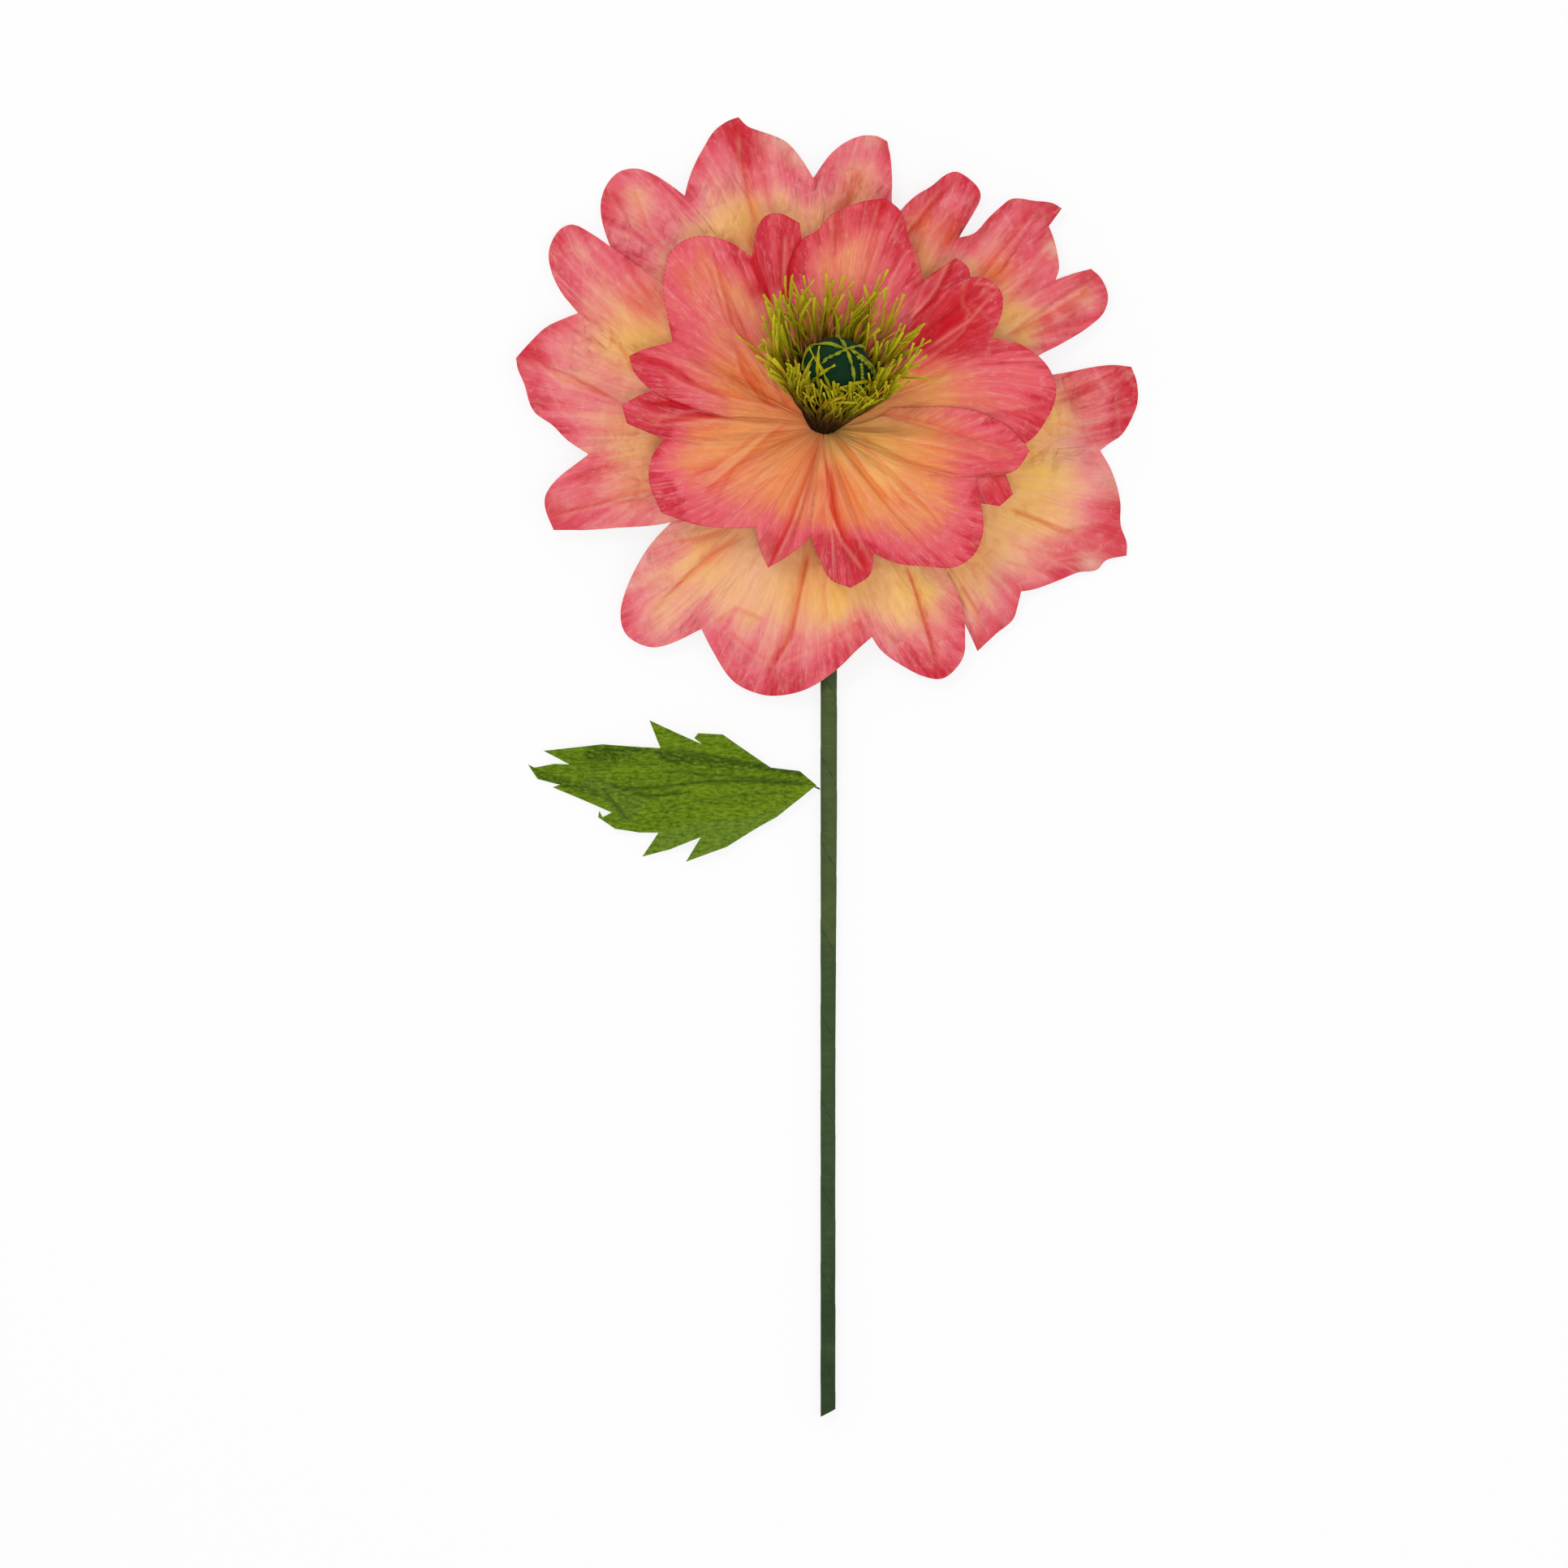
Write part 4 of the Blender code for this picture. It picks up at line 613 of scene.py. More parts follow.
def outer_height(x, y, reach):
    """Height of the outer ring: down to the floor at its rim, and up over the stem."""
    z = OUTER_TIP_Z + (OUTER_ROOT_Z - OUTER_TIP_Z) * (1.0 - (reach / OUTER_REACH) ** OUTER_POWER)
    over_stem = smooth(STEM_TENT_START, STEM_TENT_FULL, THROAT[1] - y)
    return z + STEM_TENT * falloff(x - STEM_X, STEM_TENT_WIDTH) * over_stem


def inner_height(angle, reach):
    """Height of the inner ring: upper lobes rise with their reach, lower ones arch and droop."""
    down = (1.0 - np.sin(angle)) / 2.0
    upper = UPPER_RISE * (reach / UPPER_REACH) ** UPPER_POWER
    side = SIDE_RISE * (reach / SIDE_REACH) ** SIDE_POWER
    droop = LOWER_DROOP * np.minimum(reach / LOWER_REACH, LOWER_END) ** LOWER_POWER
    lower = LOWER_ARCH * np.sin(math.pi * droop)
    share_side = 1.0 - np.abs(2.0 * down - 1.0)
    return (INNER_ROOT_Z + np.maximum(1.0 - 2.0 * down, 0.0) * upper + share_side * side
            + np.maximum(2.0 * down - 1.0, 0.0) * lower)


class Sheet:
    """A petal sheet as a grid of points, columns across it by rows from its claw to its rim.

    What depends on the column alone is kept as columns by 1, so that it spreads over the rows.
    """

    def __init__(self, name, sheet, inner):
        self.name, self.sheet, self.inner = name, sheet, inner
        self.group = "inner" if inner else "outer"
        self.common = RINGS[self.group]
        self.seed = sum(map(ord, name)) % 50 + 1
        share, rim_angle, rim_reach = rim_curve(sheet["rim"], COLUMNS)
        rim_reach = rim_reach * self.common["length"]
        low, high = sheet["base"]
        base = np.radians(mix(low + CLAW_GAP, high - CLAW_GAP, share))
        radius = squeeze(base, self.common["claw_radius"])
        outward = np.cos(base)[:, None] * ACROSS + np.sin(base)[:, None] * UP
        centre = THROAT - AXIS * self.common["drop"]
        self.ring = centre + outward * (radius + CLAW_PLEAT * np.cos(4 * math.pi * share))[:, None]
        beyond = ROWS - FLARE_ROWS - len(CLAW_ROWS) - 1
        rows = np.concatenate([CLAW_ROWS, np.linspace(0.0, 1.0, FLARE_ROWS + 1)[:-1],
                               1.0 + np.linspace(0.0, 1.0, beyond), [RIM_ROW]])
        rows.sort()
        share, base, radius, rim_angle, rim_reach = (
            v[:, None] for v in (share, base, radius, rim_angle, rim_reach))
        self.share, self.radius, self.grow = share, radius, rows[None, :]
        flaring = radius + FLARE * np.maximum(self.grow, 0.0)
        self.reach = np.where(self.grow < 1.0, flaring, mix(radius + FLARE, rim_reach, self.grow - 1.0))
        self.s = (self.reach - radius) / (rim_reach - radius)
        spread = np.radians(self.common["spread"]) * (2.0 * share - 1.0)
        self.angle = mix(base + spread, rim_angle, self.s ** FAN_POWER)
        self.x = THROAT[0] + self.reach * np.cos(self.angle)
        self.y = THROAT[1] + self.reach * np.sin(self.angle)
        self.u = share * (rim_angle[-1] - rim_angle[0]) * FIBRE_REACH
        self.flared = smooth(radius, radius + FLARE, self.reach)
        self.edge = np.full(self.x.shape, 1e9)
        for rim_x, rim_y in zip(self.x[::2, -1], self.y[::2, -1]):
            self.edge = np.minimum(self.edge, np.hypot(self.x - rim_x, self.y - rim_y))

    def plain_height(self):
        """Height of the sheet with its broad folds, and how free its paper is to crumple."""
        s, share, reach = self.s, self.share, self.reach
        z = inner_height(self.angle, reach) if self.inner else outer_height(self.x, self.y, reach)
        above_root = np.maximum(self.ring[:, 2:3] - self.common["root"], 0.0)
        z = z + self.common["arch"] * above_root * falloff(reach - self.radius, ARCH_WIDTH)
        level = self.sheet["level"] if isinstance(self.sheet["level"], tuple) else (self.sheet["level"],) * 2
        level = mix(level[0], level[1], smooth(0.3, 0.8, share))
        z = z + level * LEVEL_STEP * self.flared * mix(0.55, 1.0, smooth(0.0, 0.5, s))
        free = self.flared * np.sin(math.pi * FOLD_RUN * s)
        loose = self.flared.copy()
        for plain, inward in zip(self.sheet["flat"], (share, 1.0 - share)):
            gate = smooth(PLAIN_START * plain, PLAIN_END * plain, inward)
            free = free * gate
            loose = loose * mix(0.25, 1.0, gate)
        for fold_angle, fold_height, fold_width in self.sheet["folds"]:
            across = (np.degrees(self.angle) - fold_angle) / fold_width
            z = z + fold_height * FOLD_STEP * np.exp(-across * across) * free
        return z, loose

    def creases(self):
        """Height of the creases and folds read off the photograph, and where they get painted shade and
        painted highlights.
        """
        height_here, crease_shade_and_seam, ridge_highlight, painted_fold_shade = (np.zeros(self.x.shape) for _ in range(4))
        for points, height, width in CREASES[self.name]:
            away, along = line_distance(self.x, self.y, spots(points))
            taper = smooth(0.0, 0.18, along) * smooth(0.0, 0.12, 1.0 - along) * 0.8 + 0.2
            height_here += height * MILLIMETRE * np.exp(-np.abs(away) / (width * MILLIMETRE)) * taper
            # Valley creases get a line of painted shade, ridges a line of painted highlight
            line = falloff(away, 0.0013) * taper * min(abs(height) / 3.0, 1.0)
            if height < 0:
                crease_shade_and_seam = np.maximum(crease_shade_and_seam, line)
            else:
                ridge_highlight = np.maximum(ridge_highlight, 0.6 * line)
        # Painted shade on the deep side of each fold, and a painted highlight line past its sharp edge
        for points, width, strength in FOLDS[self.group]:
            away, along = line_distance(self.x, self.y, spots(points))
            away = math.copysign(1.0, width) * away
            taper = smooth(0.0, 0.15, along) * smooth(0.0, 0.12, 1.0 - along)
            deep_side = np.exp(-(np.abs(away) / (abs(width) * PIXEL)) ** 1.4)
            band = np.where(away > 0, deep_side, falloff(away, 0.0009))
            painted_fold_shade = np.maximum(painted_fold_shade, strength * band * taper)
            ridge_highlight = np.maximum(ridge_highlight, 0.7 * strength * falloff(away + 0.0024, 0.0013) * taper)
            height_here -= 0.0016 * strength * falloff(away - 0.0015, 0.0028) * taper
        return height_here, crease_shade_and_seam, ridge_highlight, painted_fold_shade

    def pleats(self):
        """Height of the pleats that run out of the gathered claw."""
        share, s = self.share, self.s
        height_here = np.zeros(self.x.shape)
        for count, height, end in ((13, 0.9, 0.85), (29, 0.55, 0.6)):
            phase = share * count + 1.3 * noise(share * 0.3 + 0 * s, s * 0.05, 0.03, self.seed)
            wave = 1.0 - 2.0 * np.abs(phase % 1.0 - 0.5) * 2.0
            fade = smooth(0.0, 0.12, s) * smooth(0.0, end, end - s + 0.05)
            height_here += (wave * height * MILLIMETRE * fade
                            * noise(share * 2.0 + 0 * s, 0 * s, 0.13, self.seed + count))
        return height_here

    def crumples(self):
        """Height of the crumples: facets between random points, longer along the fibres."""
        near, second = cells(self.u, self.reach * 0.55, 0.012, self.seed)
        coarse = (second - near) * noise(self.x, self.y, 0.03, self.seed + 3)
        near, second = cells(self.x, self.y * 0.8, 0.007, self.seed + 7)
        fine = (second - near) * smooth(0.45, 0.75, noise(self.x, self.y, 0.022, self.seed + 5))
        return (coarse * 0.0030 + fine * 0.0018) * self.common["crumple"] * smooth(0.15, 0.6, self.s)

    def waves(self):
        """Height of the shallow waves across the fibres."""
        wave = noise(self.u, self.reach * 0.3, 0.012, self.seed + 9) - 0.5
        return wave * 0.0022 * smooth(0.2, 0.8, self.s)

    def points(self, relief):
        """Points of the sheet's middle with the relief on them, and of the claw under the throat."""
        z, loose = self.plain_height()
        points = np.stack([self.x, self.y, z + relief * loose], axis=-1)
        points = self.ring[:, None, :] * (1.0 - self.flared)[..., None] + points * self.flared[..., None]
        claw = self.grow + 0 * self.s < 0.0
        down = self.ring[:, None, :] + AXIS * (CLAW_LENGTH * np.minimum(self.grow, 0.0))[..., None]
        points = np.where(claw[..., None], down, points)
        points[..., 2] = np.maximum(points[..., 2], LOWEST_PAPER)
        return points

    def dyes(self):
        """Shares of the deep red and orange dyes with their painted shade, of the yellow dye with painted
        light on the throat, of the painted light through thin rims, and of the pink dye.
        """
        found = {}
        for key, places, wide in (("deep_red_and_shade", DEEP_RED_AND_SHADE_SPOTS[self.group], 1.0), ("gold_and_light", GOLD_AND_LIGHT_SPOTS[self.group], 1.25),
                                  ("orange_and_shade", ORANGE_AND_SHADE_SPOTS[self.group], 1.25), ("pale", LIGHT_THROUGH_RIMS, 1.0)):
            field = np.zeros(self.x.shape)
            for px, py, radius_px, strength in places:
                field = np.maximum(field, strength * falloff(self.away(px, py), radius_px * PIXEL * wide))
            found[key] = field
        if self.inner:
            for outline, strength, soft in RED_FOLD_SHADE:
                share_in = outline_share(self.x, self.y, spots(outline), soft * PIXEL)
                found["deep_red_and_shade"] = np.maximum(found["deep_red_and_shade"], strength * share_in)
        blotch = noise(self.x, self.y, 0.024, self.seed + 11) - 0.5
        blotch = blotch + 0.6 * (noise(self.u, self.reach * 0.25, 0.008, self.seed + 13) - 0.5)
        far = self.reach / self.common["length"] + 0.16 * blotch
        low, high, most = self.common["pink"]
        rim_width, rim_blotch, rim_most = self.common["rim_pink"]
        near_rim = smooth(rim_width, 0.0, self.edge + rim_blotch * blotch)
        pink = smooth(low, high, far) * most + near_rim * rim_most
        for px, py, radius_px, strength in PINK[self.group]:
            pink = pink + strength * falloff(self.away(px, py), radius_px * PIXEL * 1.1)
        found["pink"] = np.clip(pink, 0, 1)
        return found

    def away(self, px, py):
        """Distance of each point from a pixel of the photograph."""
        cx, cy = spot(px, py)
        return np.hypot(self.x - cx, self.y - cy)

    def surface(self):
        """Points of the sheet's middle, and the fields that its material reads."""
        height_here, crease_shade_and_seam, ridge_highlight, painted_fold_shade = self.creases()
        relief = height_here + self.pleats() + self.crumples() + self.waves()
        dyes = self.dyes()
        rough = self.common["rough"] * smooth(0.35, 0.95, self.s)
        rough = rough * (0.35 + 1.1 * noise(self.x, self.y, 0.035, self.seed + 15))
        u = np.broadcast_to(self.u, self.x.shape)
        fields = dict(pink=dyes["pink"], deep_red_and_shade=dyes["deep_red_and_shade"], crease_shade_and_seam=crease_shade_and_seam, edge=self.edge, rough=rough,
                      gold_and_light=dyes["gold_and_light"], orange_and_shade=dyes["orange_and_shade"], pale=dyes["pale"], ridge_highlight=ridge_highlight, painted_fold_shade=painted_fold_shade,
                      fibre=np.stack([u, self.reach, 0 * u], axis=-1))
        return self.points(relief), fields


def grid_normals(points):
    """Unit normals of a grid of points."""
    along = np.gradient(points, axis=1)
    across = np.gradient(points, axis=0)
    normal = np.cross(along, across)
    return normal / np.maximum(np.linalg.norm(normal, axis=-1, keepdims=True), 1e-12)


def in_scene(name, data):
    """An object of the data, linked to the scene."""
    made = bpy.data.objects.new(name, data)
    bpy.context.scene.collection.objects.link(made)
    return made


def mesh_object(name, verts, faces, kind, attributes=None, sharp=55.0):
    """A smooth shaded object of the verts and faces, with point attributes for its material."""
    mesh = bpy.data.meshes.new(name)
    mesh.from_pydata([tuple(v) for v in verts], [], [tuple(int(i) for i in f) for f in faces])
    mesh.polygons.foreach_set("use_smooth", [True] * len(mesh.polygons))
    mesh.set_sharp_from_angle(angle=math.radians(sharp))
    for key, values in (attributes or {}).items():
        values = np.asarray(values, dtype=np.float32)
        if values.ndim == 2:
            layer = mesh.attributes.new(key, "FLOAT_VECTOR", "POINT")
            layer.data.foreach_set("vector", values.ravel())
        else:
            layer = mesh.attributes.new(key, "FLOAT", "POINT")
            layer.data.foreach_set("value", values.ravel())
    mesh.update()
    mesh.materials.append(MATERIALS[kind])
    return in_scene(name, mesh)


def closed_sheet(name, points, thickness, kind, fields):
    """A thin closed solid round a grid of points."""
    normal = grid_normals(points)
    if normal[points.shape[0] // 2, points.shape[1] // 2, 2] < 0:
        normal = -normal
    columns, rows = points.shape[:2]
    top = (points + normal * thickness / 2).reshape(-1, 3)
    under = (points - normal * thickness / 2).reshape(-1, 3)
    index = np.arange(columns * rows).reshape(columns, rows)
    quads = np.stack([index[:-1, :-1], index[1:, :-1], index[1:, 1:], index[:-1, 1:]], -1).reshape(-1, 4)
    size = columns * rows
    ring = np.concatenate([index[:-1, 0], index[-1, :-1], index[1:, -1][::-1], index[0, 1:][::-1]])
    after = np.roll(ring, -1)
    walls = np.stack([ring, after, after + size, ring + size], -1)
    a, b, c = top[quads[0, 0]], top[quads[0, 1]], top[quads[0, 2]]
    if np.cross(b - a, c - a) @ normal.reshape(-1, 3)[quads[0, 0]] < 0:
        quads = quads[:, ::-1]
        walls = walls[:, ::-1]
    faces = np.concatenate([quads, quads[:, ::-1] + size, walls[:, ::-1]])
    double = {key: np.concatenate([value.reshape(size, -1)] * 2).squeeze() for key, value in fields.items()}
    return mesh_object(name, np.concatenate([top, under]), faces, kind, double)


class Graph:
    """A material's node tree, with short calls to add and join nodes."""

    def __init__(self, name):
        self.material = bpy.data.materials.new(name)
        self.material.use_nodes = True
        self.tree = self.material.node_tree
        self.shader = self.tree.nodes["Principled BSDF"]

    def put(self, socket, value):
        """Join a socket to another, or give it a value."""
        if isinstance(value, bpy.types.NodeSocket):
            self.tree.links.new(value, socket)
        elif hasattr(socket, "default_value"):
            if isinstance(value, tuple) and len(value) == 3 and socket.type == "RGBA":
                value = (*value, 1.0)
            socket.default_value = value

    def attribute(self, name, vector=False):
        """A field that is stored on the mesh."""
        node = self.tree.nodes.new("ShaderNodeAttribute")
        node.attribute_name = name
        return node.outputs["Vector" if vector else "Fac"]

    def object_place(self):
        """Coordinates in metres that stay with the object."""
        return self.tree.nodes.new("ShaderNodeTexCoord").outputs["Object"]

    def stretch(self, vector, scale, turn=(0.0, 0.0, 0.0)):
        """Coordinates scaled along each axis and turned."""
        node = self.tree.nodes.new("ShaderNodeMapping")
        self.put(node.inputs["Vector"], vector)
        node.inputs["Scale"].default_value = scale
        node.inputs["Rotation"].default_value = turn
        return node.outputs["Vector"]

    def noise(self, vector, scale=1.0, detail=2.0, rough=0.5, distortion=0.0):
        """A cloudy noise from 0 to 1."""
        node = self.tree.nodes.new("ShaderNodeTexNoise")
        self.put(node.inputs["Vector"], vector)
        node.inputs["Scale"].default_value = scale
        node.inputs["Detail"].default_value = detail
        node.inputs["Roughness"].default_value = rough
        node.inputs["Distortion"].default_value = distortion
        return node.outputs["Fac"]

    def facets(self, vector, scale=1.0):
        """Distance to the nearest edge of random cells."""
        node = self.tree.nodes.new("ShaderNodeTexVoronoi")
        node.feature = "DISTANCE_TO_EDGE"
        self.put(node.inputs["Vector"], vector)
        node.inputs["Scale"].default_value = scale
        return node.outputs["Distance"]

    def warped(self, scale, amount):
        """Object coordinates pushed about by a noise, so that cells come out uneven."""
        node = self.tree.nodes.new("ShaderNodeTexNoise")
        node.inputs["Scale"].default_value = scale
        self.put(node.inputs["Vector"], self.object_place())
        push = self.tree.nodes.new("ShaderNodeVectorMath")
        push.operation = "MULTIPLY_ADD"
        self.put(push.inputs[0], node.outputs["Color"])
        push.inputs[1].default_value = (amount, amount, amount)
        self.put(push.inputs[2], self.object_place())
        return push.outputs["Vector"]

    def maths(self, kind, a, b, clamp=False):
        """A sum, product or the like of two values."""
        node = self.tree.nodes.new("ShaderNodeMath")
        node.operation = kind
        node.use_clamp = clamp
        self.put(node.inputs[0], a)
        self.put(node.inputs[1], b)
        return node.outputs[0]

    def span(self, value, low, high, to_low=0.0, to_high=1.0):
        """A value moved from one range to another, and held inside it."""
        node = self.tree.nodes.new("ShaderNodeMapRange")
        self.put(node.inputs["Value"], value)
        for key, number in (("From Min", low), ("From Max", high), ("To Min", to_low), ("To Max", to_high)):
            node.inputs[key].default_value = number
        return node.outputs["Result"]

    def ramp(self, value, *stops):
        """A colour for each value, between the stops (place, colour)."""
        node = self.tree.nodes.new("ShaderNodeValToRGB")
        self.put(node.inputs["Fac"], value)
        ramp = node.color_ramp
        ramp.elements[0].position, ramp.elements[0].color = stops[0][0], (*stops[0][1], 1.0)
        ramp.elements[1].position, ramp.elements[1].color = stops[-1][0], (*stops[-1][1], 1.0)
        for place, colour in stops[1:-1]:
            element = ramp.elements.new(place)
            element.color = (*colour, 1.0)
        return node.outputs["Color"]

    def blend(self, share, a, b, kind="MIX"):
        """Colour b over colour a by a share."""
        node = self.tree.nodes.new("ShaderNodeMix")
        node.data_type = "RGBA"
        node.blend_type = kind
        self.put(node.inputs["Factor"], share)
        self.put(node.inputs[6], a)
        self.put(node.inputs[7], b)
        return node.outputs[2]

    def bump(self, height, distance, strength=1.0, under=None):
        """A normal tilted by a height, on top of the one under it."""
        node = self.tree.nodes.new("ShaderNodeBump")
        self.put(node.inputs["Height"], height)
        node.inputs["Distance"].default_value = distance
        node.inputs["Strength"].default_value = strength
        if under is not None:
            self.put(node.inputs["Normal"], under)
        return node.outputs["Normal"]

    def finish(self, colour, roughness, normal=None, **constants):
        """The material, with these in its shader."""
        self.put(self.shader.inputs["Base Color"], colour)
        self.put(self.shader.inputs["Roughness"], roughness)
        if normal is not None:
            self.put(self.shader.inputs["Normal"], normal)
        for key, value in constants.items():
            self.put(self.shader.inputs[key.replace("_", " ")], value)
        return self.material


# Most of a noise lies between these
MOST = (0.3, 0.7)


def colour(r, g, b):
    """Linear colour of an sRGB colour written from 0 to 255."""
    return tuple((v / 255 / 12.92) if v <= 10 else ((v / 255 + 0.055) / 1.055) ** 2.4 for v in (r, g, b))


# Yellow is dye and also painted light on the shaded throat, orange and red are dye and also painted shade;
# the fold and crease shades are painted shade, the ridge and crumple colours painted highlights, and the
# colour through the rims painted light.
YELLOW_DYE_AND_LIGHT, ORANGE_DYE_AND_SHADE, RED_DYE_AND_SHADE = colour(249, 204, 102), colour(228, 116, 52), colour(202, 8, 30)
PALE_GRAIN, PALE_FIBRE, LIGHT_THROUGH_COLOUR = colour(250, 200, 176), colour(246, 190, 168), colour(246, 204, 180)
RIDGE_HIGHLIGHT_COLOUR, CRUMPLE_HIGHLIGHT_COLOUR = colour(252, 176, 150), colour(252, 200, 184)
FOLD_SHADE, CREASE_SHADE = (0.90, 0.30, 0.17), (0.70, 0.28, 0.20)


def petal_material(name, stops, shade, rim, rim_share):
    """Dyed soft paper, yellow to pink by the stops, with fibres and a fine crumple; painted shade in its
    folds, creases and deep red and orange places, painted highlights on its ridges and crumples, and painted
    light through its thin rims and on the shaded throat.
    """
    g = Graph(name)
    fibre = g.attribute("fibre", vector=True)
    streaks = g.noise(g.stretch(fibre, (600.0, 18.0, 1.0)), 1.0, 4.0, 0.6)
    broad = g.noise(g.stretch(fibre, (150.0, 9.0, 1.0)), 1.0, 3.0, 0.55)
    patches = g.noise(g.object_place(), 38.0, 3.0, 0.55, 0.6)
    pink = g.attribute("pink")
    pink = g.maths("ADD", pink, g.span(broad, *MOST, -0.18, 0.18))
    pink = g.maths("ADD", pink, g.span(patches, *MOST, -0.10, 0.10), clamp=True)
    base = g.ramp(pink, *stops)
    # Yellow dye, and painted light on the shaded throat
    gold_and_light_share = g.maths("MULTIPLY", g.attribute("gold_and_light"), g.span(broad, *MOST, 0.6, 1.1))
    gold_and_light_share = g.maths("MULTIPLY", gold_and_light_share, g.span(pink, 0.25, 0.9, 0.95, 0.15), clamp=True)
    base = g.blend(gold_and_light_share, base, YELLOW_DYE_AND_LIGHT)
    # Orange dye, with painted shade in folds and overlaps
    orange_and_shade_share = g.maths("MULTIPLY", g.attribute("orange_and_shade"), g.span(broad, *MOST, 0.5, 1.1), clamp=True)
    base = g.blend(orange_and_shade_share, base, ORANGE_DYE_AND_SHADE)
    base = g.blend(g.span(streaks, 0.41, 0.65, 0.0, 0.54), base, shade, "MULTIPLY")
    grain = g.noise(g.stretch(fibre, (340.0, 120.0, 1.0)), 1.0, 3.0, 0.65, 0.5)
    base = g.blend(g.span(grain, 0.44, 0.62, 0.0, 0.22), base, shade, "MULTIPLY")
    base = g.blend(g.span(grain, 0.46, 0.34, 0.0, 0.16), base, PALE_GRAIN)
    pale = g.noise(g.stretch(fibre, (300.0, 14.0, 1.0)), 1.0, 3.0, 0.6)
    base = g.blend(g.span(pale, 0.53, 0.72, 0.0, 0.22), base, PALE_FIBRE)
    # Painted light through the thin rims
    light_through_share = g.maths("MULTIPLY", g.attribute("pale"), g.span(broad, *MOST, 0.6, 1.2), clamp=True)
    base = g.blend(light_through_share, base, LIGHT_THROUGH_COLOUR)
    # Painted shade of the folds
    base = g.blend(g.attribute("painted_fold_shade"), base, FOLD_SHADE, "MULTIPLY")
    # Deep red dye, and painted shade of deep folds and overlaps
    deep_red_and_shade = g.maths("MULTIPLY", g.attribute("deep_red_and_shade"), g.span(broad, 0.25, 0.75, 0.95, 1.25), clamp=True)
    base = g.blend(deep_red_and_shade, base, RED_DYE_AND_SHADE)
    # Painted shade in the creases
    base = g.blend(g.maths("MULTIPLY", g.attribute("crease_shade_and_seam"), 0.55), base, CREASE_SHADE, "MULTIPLY")
    # Painted highlight along the ridges
    base = g.blend(g.maths("MULTIPLY", g.attribute("ridge_highlight"), 0.45), base, RIDGE_HIGHLIGHT_COLOUR)
    line = g.span(g.attribute("edge"), 0.0003, 0.0014, rim_share, 0.0)
    base = g.blend(line, base, rim)
    roughness = g.span(streaks, *MOST, 0.50, 0.68)
    normal = g.bump(grain, 0.0006, 0.6, g.bump(streaks, 0.00035, 0.6))
    rough = g.attribute("rough")
    along = g.stretch(fibre, (130.0, 26.0, 1.0), (0.0, 0.0, 0.12))
    crossed = g.stretch(g.warped(20.0, 0.004), (34.0, 26.0, 34.0), (0.0, 0.0, 0.5))
    small = g.stretch(g.warped(60.0, 0.002), (100.0, 70.0, 100.0), (0.0, 0.0, -0.4))
    # Bumps of the crumples, with painted highlights along their facet edges
    for place, height, light in ((crossed, 0.0080, 0.12), (along, 0.0028, 0.10), (small, 0.0025, 0.06)):
        facets = g.facets(place)
        normal = g.bump(g.maths("MULTIPLY", facets, rough), height, 1.0, normal)
        crumple_highlight_lines = g.maths("MULTIPLY", g.span(facets, 0.0, 0.07, light, 0.0), rough, clamp=True)
        crumple_highlight_lines = g.maths("MULTIPLY", crumple_highlight_lines, g.span(patches, 0.42, 0.58, 0.0, 1.0))
        base = g.blend(crumple_highlight_lines, base, CRUMPLE_HIGHLIGHT_COLOUR)
    return g.finish(base, roughness, normal, Specular_IOR_Level=0.2)


def crepe_material(name, dark, light, fibre_scale, roughness, bump=0.0006):
    """Stretched crepe: fine ridges along the fibre and a mottled dye."""
    g = Graph(name)
    fibre = g.attribute("fibre", vector=True)
    ridges = g.noise(g.stretch(fibre, fibre_scale), 1.0, 4.0, 0.6, 0.3)
    mottle = g.noise(g.object_place(), 70.0, 3.0, 0.6)
    share = g.maths("ADD", g.span(ridges, *MOST, 0.0, 0.6), g.span(mottle, *MOST, 0.0, 0.4), clamp=True)
    base = g.blend(share, dark, light)
    normal = g.bump(ridges, bump, 0.8)
    return g.finish(base, g.span(ridges, *MOST, roughness - 0.06, roughness + 0.06), normal,
                    Specular_IOR_Level=0.12)


def stamen_material():
    """Twisted crepe, dark at the root and yellow green at the tip, warmer where the tone is high, with
    painted shade toward the roots.
    """
    g = Graph("stamen_look")
    fibre = g.attribute("fibre", vector=True)
    ridges = g.noise(g.stretch(fibre, (1500.0, 60.0, 1.0)), 1.0, 3.0, 0.6)
    places = (0.0, 0.42, 0.64, 0.82, 1.0)
    cool = (colour(30, 20, 2), colour(50, 38, 4), colour(112, 104, 8), colour(172, 172, 10),
            colour(208, 206, 32))
    warm = (colour(40, 22, 2), colour(78, 44, 6), colour(146, 100, 10), colour(196, 162, 12),
            colour(226, 204, 46))
    cool, warm = (g.ramp(g.attribute("up"), *zip(places, colours)) for colours in (cool, warm))
    base = g.blend(g.attribute("tone"), cool, warm)
    base = g.blend(g.span(ridges, 0.35, 0.7, 0.0, 0.5), base, (0.25, 0.22, 0.05), "MULTIPLY")
    # Painted shade toward the roots of the strands
    base = g.blend(g.attribute("dim"), base, (0.10, 0.08, 0.03), "MULTIPLY")
    return g.finish(base, 0.7, g.bump(ridges, 0.0004, 0.7), Specular_IOR_Level=0.12)


